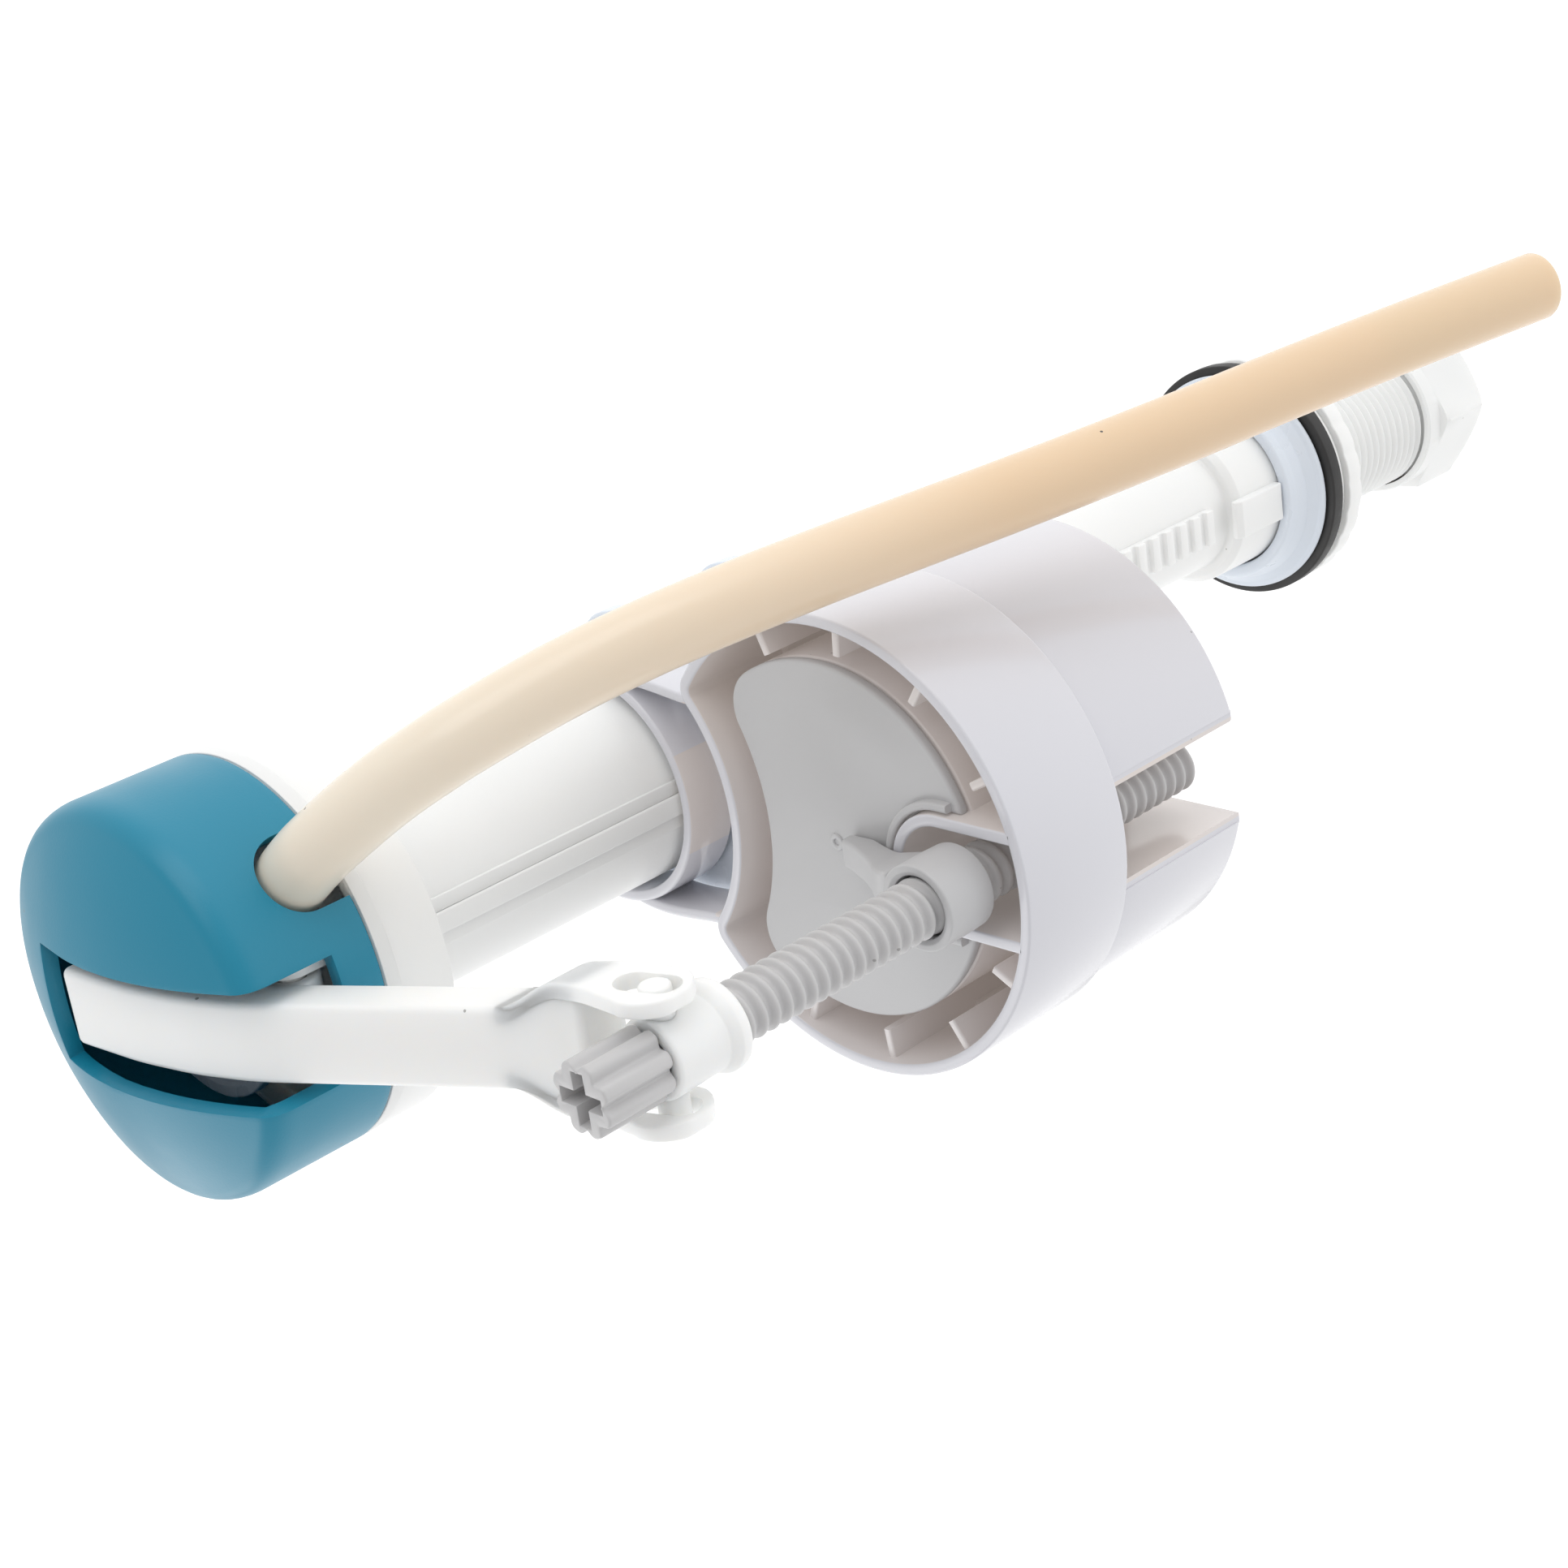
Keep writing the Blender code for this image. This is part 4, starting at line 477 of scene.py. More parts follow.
def hose_rows(route, radius, around=56):
    """Circles of a radius round a route: the frame's first axis is level and across the route."""
    way = np.gradient(route, axis=0)
    way /= np.linalg.norm(way, axis=1)[:, None]
    level = np.cross(way, (0.0, 0.0, 1.0)) + 1e-9
    flat = np.array([-HOSE_WAY[1], HOSE_WAY[0], 0.0])
    level = level * np.sign(level @ -flat)[:, None]
    level /= np.linalg.norm(level, axis=1)[:, None]
    up = np.cross(level, way)
    angle = (np.arange(around) * 2 * np.pi / around)[None, :, None]
    radius = np.broadcast_to(np.asarray(radius, float), len(route))[:, None, None]
    return route[:, None] + radius * (np.cos(angle) * level[:, None] + np.sin(angle) * up[:, None])


hose_line = smooth_route(HOSE_ROUTE)
outside = hose_rows(hose_line, HOSE_R)
end_way = (hose_line[-1] - hose_line[-2]) / np.linalg.norm(hose_line[-1] - hose_line[-2])
start_way = (hose_line[1] - hose_line[0]) / np.linalg.norm(hose_line[1] - hose_line[0])
centre_last, centre_first = hose_line[-1], hose_line[0]
lips = [centre_last + (outside[-1] - centre_last) * share + end_way * back
        for share, back in ((1.0, -0.25), (0.985, -0.07), (0.94, 0.0), (0.75, 0.0), (0.71, -0.05), (0.69, -0.25))]
inside = centre_last + (outside[-1] - centre_last) * HOSE_BORE_R / HOSE_R - end_way * 30
plug_row = np.broadcast_to(centre_last - end_way * 30, outside[-1].shape)
first_rows = [np.broadcast_to(centre_first, outside[0].shape),
              centre_first + (outside[0] - centre_first) * 0.96, outside[0] + start_way * 0.15]
hose = skin("refill_hose_tube", np.concatenate([
    np.array(first_rows), outside[1:-1], np.array(lips), inside[None], plug_row[None]]), rows_ring=False, sharp=50)
cream_vinyl = plastic("cream vinyl", (0.80, 0.60, 0.40), (0.79, 0.59, 0.39), 0.27, 0.0, 16.0, 1800.0, 0.0,
                      dust=1.0, glow=0.25, coat=0.15)


def paler_towards_head(material, far, far_shade, near):
    """Fades both colours to a paler cream between z = 130 mm and z = 205 mm."""
    nodes, link = material.node_tree.nodes, material.node_tree.links.new
    surface = next(n for n in nodes if n.type == "GROUP")
    place, parts = nodes.new("ShaderNodeTexCoord"), nodes.new("ShaderNodeSeparateXYZ")
    height = nodes.new("ShaderNodeMapRange")
    height.inputs["From Min"].default_value, height.inputs["From Max"].default_value = 0.130, 0.205
    link(place.outputs["Object"], parts.inputs[0])
    link(parts.outputs["Z"], height.inputs["Value"])
    for socket, colour in (("Colour", far), ("Shade", far_shade)):
        blend = nodes.new("ShaderNodeMix")
        blend.data_type = "RGBA"
        link(height.outputs["Result"], blend.inputs["Factor"])
        blend.inputs[6].default_value, blend.inputs[7].default_value = (*colour, 1), (*near, 1)
        link(blend.outputs[2], surface.inputs[socket])


paler_towards_head(cream_vinyl, (0.80, 0.60, 0.40), (0.79, 0.59, 0.39), (0.88, 0.79, 0.66))
fit(hose, cream_vinyl, "cream_vinyl", "riser", "refill_hose")

# ======================================================================================
# Valve works: a black cup diaphragm under a white stiffener plate, closed by a bluish-white
# bonnet with a guide for the pilot plunger that the lever presses on its rubber seal.
# ======================================================================================
fit(turned("cup_diaphragm", [
    (0, 206.3), (6.6, 206.3), (7.4, 207.6), (9.2, 210.5), (14.7, 210.5), (14.7, 211.7), (8.8, 211.7), (6.5, 208.7),
    (0, 208.7)], 0.5, 72), black_rubber, "black_rubber", "riser", "diaphragm")
fit(turned("diaphragm_stiffener", [(0.9, 209.0), (5.9, 209.0), (6.8, 210.6), (0.9, 210.6)], 0.3, 64),
    white_acetal, "white_acetal", "riser", "diaphragm_plate")
lid_disc = turned("disc", [(0, 212.0), (15.2, 212.0), (15.2, 214.0), (13.6, 214.0), (13.2, 213.6), (6.6, 213.6),
                           (6.3, 212.8), (0, 212.8)], 0.3)
guide = turned("guide", [(2.2, 212.4), (3.8, 212.4), (3.8, 217.0), (2.2, 217.0)], 0.3, 48, (4.0, 0, 0))
fit(moulded_as_one("chamber_bonnet", [lid_disc, guide]), cool_white, "cool_white_plastic", "riser", "bonnet")
fit(turned("pilot_pin", [(0, 215.9), (1.9, 215.9), (1.9, 219.3), (0, 219.3)], 0.35, 40, (4.0, 0, 0)),
    white_acetal, "white_acetal", "pilot", "pilot_plunger")
fit(turned("pilot_seal_disc", [(0, 215.1), (1.7, 215.1), (1.7, 215.6), (0, 215.6)], 0.1, 32, (4.0, 0, 0)),
    black_rubber, "black_rubber", "pilot", "pilot_seal")

# ======================================================================================
# Lever: natural, slightly see-through polypropylene.  A deep flat bar turns on a white pin
# between the posts, presses the pilot, and spreads into two slotted ears for the barrel.
# ======================================================================================
PIN_HALF = 7.75
fit(turned("lever_pin_white", [(0, -PIN_HALF - 0.3), (1.5, -PIN_HALF - 0.3), (1.5, PIN_HALF), (2.3, PIN_HALF),
                               (2.3, PIN_HALF + 1.0), (0, PIN_HALF + 1.0)], 0.3, 48, (PIN_X, 0, PIN_Z), (0, 1, 0)),
    white_acetal, "white_acetal", "riser", "lever_pin")

natural_plastic = plastic("natural polypropylene", (0.94, 0.945, 0.93), (0.915, 0.92, 0.905), 0.36, 0.14, 22.0,
                          2200.0, 0.3, dust=0.6, glow=0.55)


def beam(name, x, half_width, bottom, top, ease, around=6):
    """A bar along x whose upright section at each x is a rectangle with corners of radius ease.

    A corner point is (sign (w - e) + e cos a, sign (h - e) + e sin a) about the section's
    middle; over the last e at each end w and h draw in by e - sqrt(e^2 - d^2).
    """
    x = np.asarray(x, float)
    near_end = np.minimum(x - x[0], x[-1] - x)
    draw_in = ease - np.sqrt(np.maximum(ease ** 2 - np.maximum(ease - near_end, 0) ** 2, 0))
    half_width = (half_width - draw_in)[:, None]
    half_height, middle = ((top - bottom) / 2 - draw_in)[:, None], ((top + bottom) / 2)[:, None]
    quarter = np.linspace(0, np.pi / 2, around)
    angle = np.concatenate([quarter + k * np.pi / 2 for k in range(4)])[None]
    side = np.repeat(np.array([1, -1, -1, 1]), around)[None]
    rise = np.repeat(np.array([1, 1, -1, -1]), around)[None]
    y = side * (half_width - ease) + ease * np.cos(angle)
    z = middle + rise * (half_height - ease) + ease * np.sin(angle)
    return skin(name, np.stack([x[:, None] + 0 * y, y, z], axis=-1), rows_ring=False, lids=True)


def swept(x, knots):
    """Smooth height over x through (x, z) knots: straight runs averaged over 5 mm."""
    knots = np.asarray(knots, float)
    offsets = np.linspace(-2.5, 2.5, 11)
    inside_x = np.clip(x[:, None] + offsets, knots[0, 0], knots[-1, 0])
    return np.interp(inside_x, knots[:, 0], knots[:, 1]).mean(axis=1)


def end_dense(low, high, step, ease):
    """Stations from low to high with a few close ones in the rounding at each end."""
    close = ease * (1 - np.cos(np.linspace(0, np.pi / 2, 5)))
    return np.unique(np.concatenate([low + close, np.arange(low + ease, high - ease, step), high - close]))


x = end_dense(-9.0, 57.9, 0.8, 0.9)
upper = swept(x, [(-9.0, 226.0), (3.0, 225.0), (12.0, 223.2), (20.0, 220.5), (47.0, 206.2), (57.9, 200.4)])
under = swept(x, [(-9.0, 221.6), (-8.0, 221.4), (1.4, 219.8), (6.6, 219.8), (12.0, 217.6), (20.0, 213.9),
                  (47.0, 199.4), (57.9, 193.8)])
flare = np.clip((x - 49.0) / 6.5, 0, 1)
lever_bar = beam("bar", x, 5.15 + 3.15 * flare ** 2 * (3 - 2 * flare), under, upper, 0.9)
hub = turned("hub", [(1.8, -5.1), (3.4, -5.1), (3.4, 5.1), (1.8, 5.1)], 0.4, 48, (PIN_X, 0, PIN_Z), (0, 1, 0))

SLOT_X, SLOT_Z, SLOT_HALF_RUN, SLOT_RADIUS, EAR_END_R = 64.9, 196.3, 1.9, 2.2, 5.1
BARREL_X, BARREL_Z = 65.6, 196.0
slot_tilt = math.atan2(BARREL_Z - PIN_Z, BARREL_X - PIN_X)
slot_turn = np.linspace(-np.pi / 2, np.pi / 2, 16)
slot_outline = np.concatenate([
    np.stack([SLOT_X + way * SLOT_HALF_RUN * math.cos(slot_tilt) + SLOT_RADIUS * np.cos(slot_turn + slot_tilt + base),
              SLOT_Z + way * SLOT_HALF_RUN * math.sin(slot_tilt) + SLOT_RADIUS * np.sin(slot_turn + slot_tilt + base)],
             axis=1) for way, base in ((1, 0.0), (-1, np.pi))])
ear_x = end_dense(48.0, SLOT_X + 4.95, 0.5, 0.4)
EAR_LEAST_HALF = 1.2
end_round = np.sqrt(np.maximum(EAR_END_R ** 2 - np.maximum(ear_x - SLOT_X, 0) ** 2, EAR_LEAST_HALF ** 2))
before_eye = ear_x < SLOT_X
eye_top = swept(ear_x, [(48.0, 205.4), (57.0, 201.2), (60.0, 201.0), (SLOT_X, SLOT_Z + EAR_END_R), (71.0, 201.4)])
eye_foot = swept(ear_x, [(48.0, 199.2), (57.0, 194.4), (60.0, 192.4), (SLOT_X, SLOT_Z - EAR_END_R), (71.0, 191.2)])
arm_top = swept(ear_x, [(48.0, 205.4), (57.0, 201.2), (60.0, 201.1), (71.0, 201.4)])
arm_foot = swept(ear_x, [(48.0, 199.2), (57.0, 194.4), (60.5, 192.0), (71.0, 191.2)])
ear_top = np.where(before_eye, arm_top, np.minimum(eye_top, SLOT_Z + end_round))
ear_foot = np.where(before_eye, arm_foot, np.maximum(eye_foot, SLOT_Z - end_round))
ears = []
for side in (-1, 1):
    ear = beam("ear", ear_x, np.full(len(ear_x), 1.0), ear_foot, ear_top, 0.4)
    for point in ear.data.vertices:
        out = min(max((point.co.x * 1000 - 48.5) / 7.0, 0.0), 1.0)
        point.co.y += side * (4.1 + 3.4 * out * out * (3 - 2 * out)) * 0.001
    cutter = bar_across("slot", slot_outline, 12.0, 0.0)
    bore_slot = ear.modifiers.new("slot", "BOOLEAN")
    bore_slot.operation, bore_slot.solver, bore_slot.object = "DIFFERENCE", "EXACT", cutter
    bore_slot.use_self = True
    cut_mesh = bpy.data.meshes.new_from_object(ear.evaluated_get(bpy.context.evaluated_depsgraph_get()))
    ear.modifiers.clear()
    ear.data = cut_mesh
    bpy.data.objects.remove(cutter)
    ears.append(ear)
fit(moulded_as_one("float_lever_arm", [lever_bar, hub, *ears]), natural_plastic, "natural_plastic", "lever",
    "float_lever")

# ======================================================================================
# Cap: satin teal ABS over the head.  Its low dome rolls into the side wall, a slot lets the
# lever through the crown and the front, and a round-topped notch lets the hose out.
# ======================================================================================
CAP_R, CAP_FOOT, CAP_CREST, DOME_FALL = 26.0, 204.0, 228.1, 0.01003
SLOT_HALF, SLOT_BACK, SILL_Z = 7.9, 12.0, 209.4


def cap_outside(lobe_columns=72, slot_columns=20):
    """Outer skin of the cap as rows of (radius, height) over four runs of columns.

    Runs A and C hold y = f * slot half-width, so their columns follow the slot's sides; runs B
    and D share out the angle between.  A point is (+-sqrt(r^2 - y^2), y, z(r)); behind the
    slot the dome's rows spread evenly from the slot's end to the rim.
    """
    corner_r = math.hypot(SLOT_BACK, SLOT_HALF)
    dome_r = np.concatenate([np.linspace(SLOT_HALF, corner_r, 9)[:-1], np.linspace(corner_r, 23.6, 14)])
    dome_z = CAP_CREST - DOME_FALL * dome_r ** 2
    roll = np.linspace(0, 1, 9)[1:, None]
    start, knee, end = (np.array(p) for p in ((23.6, dome_z[-1]), (25.85, 221.75), (CAP_R, 218.6)))
    rolled = (1 - roll) ** 2 * start + 2 * roll * (1 - roll) * knee + roll ** 2 * end
    side_z = np.concatenate([np.linspace(218.6, SILL_Z, 10)[1:], np.linspace(SILL_Z, CAP_FOOT, 6)[1:]])
    radius = np.concatenate([dome_r, rolled[:, 0], np.full(len(side_z), CAP_R)])
    height = np.concatenate([dome_z, rolled[:, 1], side_z])
    across = np.linspace(-SLOT_HALF, SLOT_HALF, slot_columns + 1)
    edge = np.arcsin(SLOT_HALF / radius)[:, None]
    share = np.linspace(0, 1, lobe_columns + 1)[None]
    lobe = edge + (np.pi - 2 * edge) * share
    lobe_x, lobe_y = radius[:, None] * np.cos(lobe), radius[:, None] * np.sin(lobe)
    slot_y = np.broadcast_to(across, (len(radius), slot_columns + 1))
    slot_x = np.sqrt(np.maximum(radius[:, None] ** 2 - slot_y ** 2, 0))
    back_x = slot_x.copy()
    on_dome = np.arange(len(radius)) < len(dome_r)
    reach = np.sqrt(np.maximum(radius ** 2 - SLOT_HALF ** 2, 0))
    spread = np.clip((reach - SLOT_BACK) / (reach[len(dome_r) - 1] - SLOT_BACK), 0, 1)[:, None]
    rim_x = np.sqrt(23.6 ** 2 - across ** 2)[None]
    back_x = np.where(on_dome[:, None], SLOT_BACK + (rim_x - SLOT_BACK) * spread, back_x)
    back_z = np.where(on_dome[:, None], CAP_CREST - DOME_FALL * (back_x ** 2 + slot_y ** 2), height[:, None])
    x = np.concatenate([slot_x[:, :-1], lobe_x[:, :-1], -back_x[:, ::-1][:, :-1], -lobe_x[:, :-1]], axis=1)
    y = np.concatenate([slot_y[:, :-1], lobe_y[:, :-1], slot_y[:, ::-1][:, :-1], -lobe_y[:, :-1]], axis=1)
    z = np.concatenate([0 * slot_y[:, :-1] + height[:, None], 0 * lobe_y[:, :-1] + height[:, None],
                        back_z[:, ::-1][:, :-1], 0 * lobe_y[:, :-1] + height[:, None]], axis=1)
    first_back, sill_row = 8, len(radius) - 6
    return np.stack([x, y, z], axis=-1), lobe_columns, slot_columns, first_back, sill_row


grid, lobe_columns, slot_columns, first_back, sill_row = cap_outside()
rows, columns = grid.shape[:2]
row, column = (a.ravel() for a in np.meshgrid(np.arange(rows - 1), np.arange(columns), indexing="ij"))
front = column < slot_columns
behind = (column >= slot_columns + lobe_columns) & (column < 2 * slot_columns + lobe_columns)
kept = ~(front & (row < sill_row)) & ~(behind & (row < first_back))
row, column = row[kept], column[kept]
after = (column + 1) % columns
faces = np.stack([row * columns + column, (row + 1) * columns + column, (row + 1) * columns + after,
                  row * columns + after], axis=1)
cap_mesh = bpy.data.meshes.new("valve_cap_teal")
cap_mesh.from_pydata((grid.reshape(-1, 3) * 0.001).tolist(), [], faces.tolist())
shape = bmesh.new()
shape.from_mesh(cap_mesh)
bmesh.ops.delete(shape, geom=[v for v in shape.verts if not v.link_faces], context="VERTS")
bmesh.ops.remove_doubles(shape, verts=shape.verts, dist=1e-6)
bmesh.ops.recalc_face_normals(shape, faces=shape.faces)
if sum(f.normal.z for f in shape.faces) < 0:
    bmesh.ops.reverse_faces(shape, faces=shape.faces)
shape.to_mesh(cap_mesh)
shape.free()
cap = bpy.data.objects.new("valve_cap_teal", cap_mesh)
bpy.context.scene.collection.objects.link(cap)
wall = cap.modifiers.new("wall", "SOLIDIFY")
wall.thickness, wall.offset, wall.use_even_offset, wall.use_quality_normals = 0.0020, -1.0, True, True
soft_edge = cap.modifiers.new("soft edge", "BEVEL")
soft_edge.width, soft_edge.segments, soft_edge.limit_method = 0.00042, 3, "ANGLE"
soft_edge.angle_limit = math.radians(50)
notch_turn = np.linspace(0, np.pi, 40)
notch_outline = np.concatenate([[(5.2, 200.0)], np.stack([5.2 * np.cos(notch_turn),
                                                          NIPPLE_Z + 5.2 * np.sin(notch_turn)], axis=1),
                                [(-5.2, 200.0)]])
notch = bar_across("notch", notch_outline, 8.0, 0.0)
notch.data.transform(Matrix.Rotation(HOSE_AZIMUTH + math.pi / 2, 4, "Z")
                     @ Matrix.Translation((0, -0.026, 0)))
cut = cap.modifiers.new("hose notch", "BOOLEAN")
cut.object, cut.operation, cut.solver = notch, "DIFFERENCE", "EXACT"
bpy.context.view_layer.update()
cap_mesh = bpy.data.meshes.new_from_object(cap.evaluated_get(bpy.context.evaluated_depsgraph_get()))
cap.modifiers.clear()
cap.data = cap_mesh
bpy.data.objects.remove(notch)
cap_mesh.shade_smooth()
cap_mesh.set_sharp_from_angle(angle=math.radians(35))
teal_plastic = plastic("teal ABS", (0.008, 0.240, 0.370), (0.007, 0.212, 0.335), 0.36, 0.16, 20.0, 3000.0, 0.35,
                       dust=0.8, glow=0.0)
fit(cap, teal_plastic, "teal_plastic", "riser", "top_cap")

# ======================================================================================
# Trunnion barrel: a natural plastic sleeve whose two pins hang in the lever's ears.  The
# rod turns inside it.
# ======================================================================================
ROD_X = 65.6
sleeve = turned("sleeve", [
    (2.9, 187.8), (5.6, 187.8), (5.6, 189.3), (4.8, 190.6), (5.0, 198.2), (2.9, 198.2)], 0.5, 72, (ROD_X, 0, 0))
pins = [turned("pin", [(0, 3.6), (1.9, 3.6), (1.9, 8.4), (0, 8.4)], 0.35, 36, (ROD_X, 0, 196.0), (0, side, 0))
        for side in (-1, 1)]
fit(moulded_as_one("trunnion_sleeve", [sleeve, *pins]), natural_plastic, "natural_plastic", "barrel",
    "trunnion_barrel")

# ======================================================================================
# Adjusting rod: grey-white acetal with a blunt coarse thread.  Its fluted knob has a cross
# recess for a screwdriver, and turning it raises or lowers the float.
# ======================================================================================
KNOB_FOOT, KNOB_TOP, KNOB_R, RECESS_Z = 198.5, 208.5, 4.6, 203.5
rod_grey = plastic("grey-white acetal", (0.575, 0.57, 0.575), (0.54, 0.535, 0.54), 0.36, 0.12, 40.0, 2600.0, 0.35,
                   dust=0.5, glow=0.08)
winding = screwed(3.0, 3.8, 2.0, 105.0, 187.5, 1.35, 0.8, 56, 12)
ends = [np.concatenate([ring_row(r, z, 56) for r, z in pairs])
        for pairs in (((0.0, 104.99), (2.4, 105.0), (2.8, 105.25)), ((2.6, 187.55), (2.6, 199.0), (0.0, 199.0)))]
threaded = skin("thread", np.concatenate([ends[0], winding[1:], ends[1]]), rows_ring=False, sharp=60)
threaded.data.transform(Matrix.Translation((ROD_X * 0.001, 0, 0)))


def knob_rows(angle):
    """Rows of the knob: fluted outside, cross-shaped recess inside, closed at both middles.

    The rim's radius dips by 0.95 cos(4 a)^4 in eight flutes.  The cross's radius is the
    longer of two bars' reach, where a bar's reach is min(L / |cos a|, W / |sin a|).
    """
    rim = KNOB_R - 0.95 * np.abs(np.cos(4 * angle)) ** 4
    c, s = np.abs(np.cos(angle)) + 1e-9, np.abs(np.sin(angle)) + 1e-9
    cross = np.maximum(np.minimum(3.3 / c, 0.95 / s), np.minimum(0.95 / c, 3.3 / s))
    turn = np.linspace(0, np.pi / 2, 4)
    lip = 0.35 * (1 - np.cos(turn))
    rows = [(0 * rim, KNOB_FOOT), (rim - 0.5, KNOB_FOOT), (rim - 0.15, KNOB_FOOT + 0.15), (rim, KNOB_FOOT + 0.5)]
    rows += [(rim - a, KNOB_TOP - 0.35 + 0.35 * math.sin(b)) for a, b in zip(lip, turn)]
    rows += [(cross + 0.2, KNOB_TOP), (cross + 0.05, KNOB_TOP - 0.05), (cross, KNOB_TOP - 0.2),
             (cross - 0.02, RECESS_Z + 0.1), (cross - 0.1, RECESS_Z), (0 * rim, RECESS_Z)]
    return np.stack([np.stack([ROD_X + r * np.cos(angle), r * np.sin(angle), z + 0 * angle], axis=-1)
                     for r, z in rows])


knob = skin("knob", knob_rows(np.arange(288) * 2 * np.pi / 288), rows_ring=False, sharp=42)
fit(moulded_as_one("adjusting_screw_rod", [threaded, knob]), rod_grey, "lid_plastic", "rod", "adjusting_rod")

# ======================================================================================
# Float: a lavender-grey open shell of thin glossy walls.  A deep collar stands on a body
# that is open in front round the rod; inside are the air chamber, ribs and rod channel, and
# a C ring on two webs runs on the riser.
# ======================================================================================
FLOAT_X, FLOAT_R, HOLLOW_R, CORNER_R = 44.5, 31.2, 24.8, 3.0
FLOAT_FOOT, FLOAT_TOP, COLLAR_FOOT, WALL = 103.0, 146.5, 127.8, 1.6
LID_X, LID_R, LID_HOLLOW_R, LID_CORNER_R, LID_TOP = 42.4, 24.1, 30.5, 6.0, 145.0
CHANNEL_X, CHANNEL_R = 61.8, 6.3


def arc(middle, radius, start, end, count):
    """Points of a circle's arc, both ends included."""
    angle = np.linspace(start, end, count)
    return np.stack([middle[0] + radius * np.cos(angle), middle[1] + radius * np.sin(angle)], axis=1)


def kidney(back_x, back_r, hollow_r, corner_r, inset=0.0):
    """A circle about (back_x, 0) bitten by one about the riser, with rounded corners.

    A corner's centre lies back_r - corner_r from the back's centre and hollow_r + corner_r
    from the riser's; an inset moves every arc inwards and leaves the centres where they are.
    """
    near, far = hollow_r + corner_r, back_r - corner_r
    x = (near ** 2 - far ** 2 + back_x ** 2) / (2 * back_x)
    y = math.sqrt(near ** 2 - x ** 2)
    back, hollow = math.atan2(y, x - back_x), math.atan2(y, x)
    return np.concatenate([
        arc((back_x, 0), back_r - inset, -back, back, 110),
        arc((x, y), corner_r - inset, back, hollow + np.pi, 14)[1:],
        arc((0, 0), hollow_r + inset, hollow, -hollow, 46)[1:],
        arc((x, -y), corner_r - inset, -hollow - np.pi, -back, 14)[1:-1]])


def walled(name, path, thickness, low, high, ring=False, ease=0.35):
    """An upright wall along a path: its section is a rectangle with eased corners.

    Each section point stands its offset from the path along the path's own normal.
    """
    section = eased([(-thickness / 2, low), (thickness / 2, low), (thickness / 2, high), (-thickness / 2, high)],
                    ease, 3)
    way = np.roll(path, -1, axis=0) - np.roll(path, 1, axis=0) if ring else np.gradient(path, axis=0)
    normal = np.stack([way[:, 1], -way[:, 0]], axis=1) / np.linalg.norm(way, axis=1)[:, None]
    flat = path[:, None] + normal[:, None] * section[None, :, :1]
    height = np.broadcast_to(section[None, :, 1:], (*flat.shape[:2], 1))
    return skin(name, np.concatenate([flat, height], axis=-1), rows_ring=ring, lids=not ring)


def slab(name, outline, low, high, ease=0.4):
    """A flat plate with eased edges: near both faces the outline draws in along its normals."""
    way = np.roll(outline, -1, axis=0) - np.roll(outline, 1, axis=0)
    normal = np.stack([way[:, 1], -way[:, 0]], axis=1) / np.linalg.norm(way, axis=1)[:, None]
    turn = np.linspace(0, np.pi / 2, 4)
    inset = np.concatenate([ease * (1 - np.sin(turn)), ease * (1 - np.cos(turn))])[:, None, None]
    height = np.concatenate([low + ease * (1 - np.cos(turn)), high - ease * (1 - np.sin(turn))])[:, None]
    flat = outline[None] - normal[None] * inset
    z = np.broadcast_to(height, flat.shape[:2])[..., None]
    return skin(name, np.concatenate([flat, z], axis=-1), rows_ring=False, lids=True)


def channel_path(radius, far_x):
    """U round the rod: in from the outer wall, round the arch, and out again."""
    reach = np.linspace(far_x, CHANNEL_X, 4)[:-1, None]
    lower = np.concatenate([reach, 0 * reach - radius], axis=1)
    return np.concatenate([lower, arc((CHANNEL_X, 0), radius, -np.pi / 2, -3 * np.pi / 2, 28), lower[::-1] * [1, -1]])


def open_at_channel(outline, radius):
    """The outline's points clear of the channel, from one side of the gap round to the other."""
    clear = outline[(np.abs(outline[:, 1]) > radius) | (outline[:, 0] < CHANNEL_X)]
    return np.roll(clear, -np.argmax(np.hypot(*(clear - np.roll(clear, 1, axis=0)).T)), axis=0)


def kidney_round_channel(outline, radius):
    """The kidney's points clear of the channel, then the U back round the channel."""
    clear = open_at_channel(outline, radius + 0.6)
    return np.concatenate([clear, channel_path(radius, clear[-1, 0])])


collar = walled("collar", kidney(FLOAT_X, FLOAT_R, HOLLOW_R, CORNER_R, WALL / 2), WALL, COLLAR_FOOT, FLOAT_TOP, True)
body_line = kidney(FLOAT_X, FLOAT_R - 1, HOLLOW_R + 0.2, CORNER_R - 0.4, WALL / 2)
body = walled("body", open_at_channel(body_line, CHANNEL_R + 0.6), WALL, FLOAT_FOOT, COLLAR_FOOT + 1.5)
floor_line = kidney_round_channel(kidney(FLOAT_X, FLOAT_R - 1, HOLLOW_R + 0.2, CORNER_R - 0.4, 0.3), CHANNEL_R + 0.2)
floor = slab("floor", floor_line, FLOAT_FOOT + 0.02, FLOAT_FOOT + 2.0)
well_line = kidney(LID_X, LID_R, LID_HOLLOW_R, LID_CORNER_R, WALL / 2)
well = walled("well", open_at_channel(well_line, CHANNEL_R + 0.6), WALL, FLOAT_FOOT + 1, 143.2)
channel_wall = walled("channel", channel_path(CHANNEL_R + WALL / 2, 73.6), WALL, FLOAT_FOOT, FLOAT_TOP, ease=0.3)
shells = [collar, body, floor, well, channel_wall]
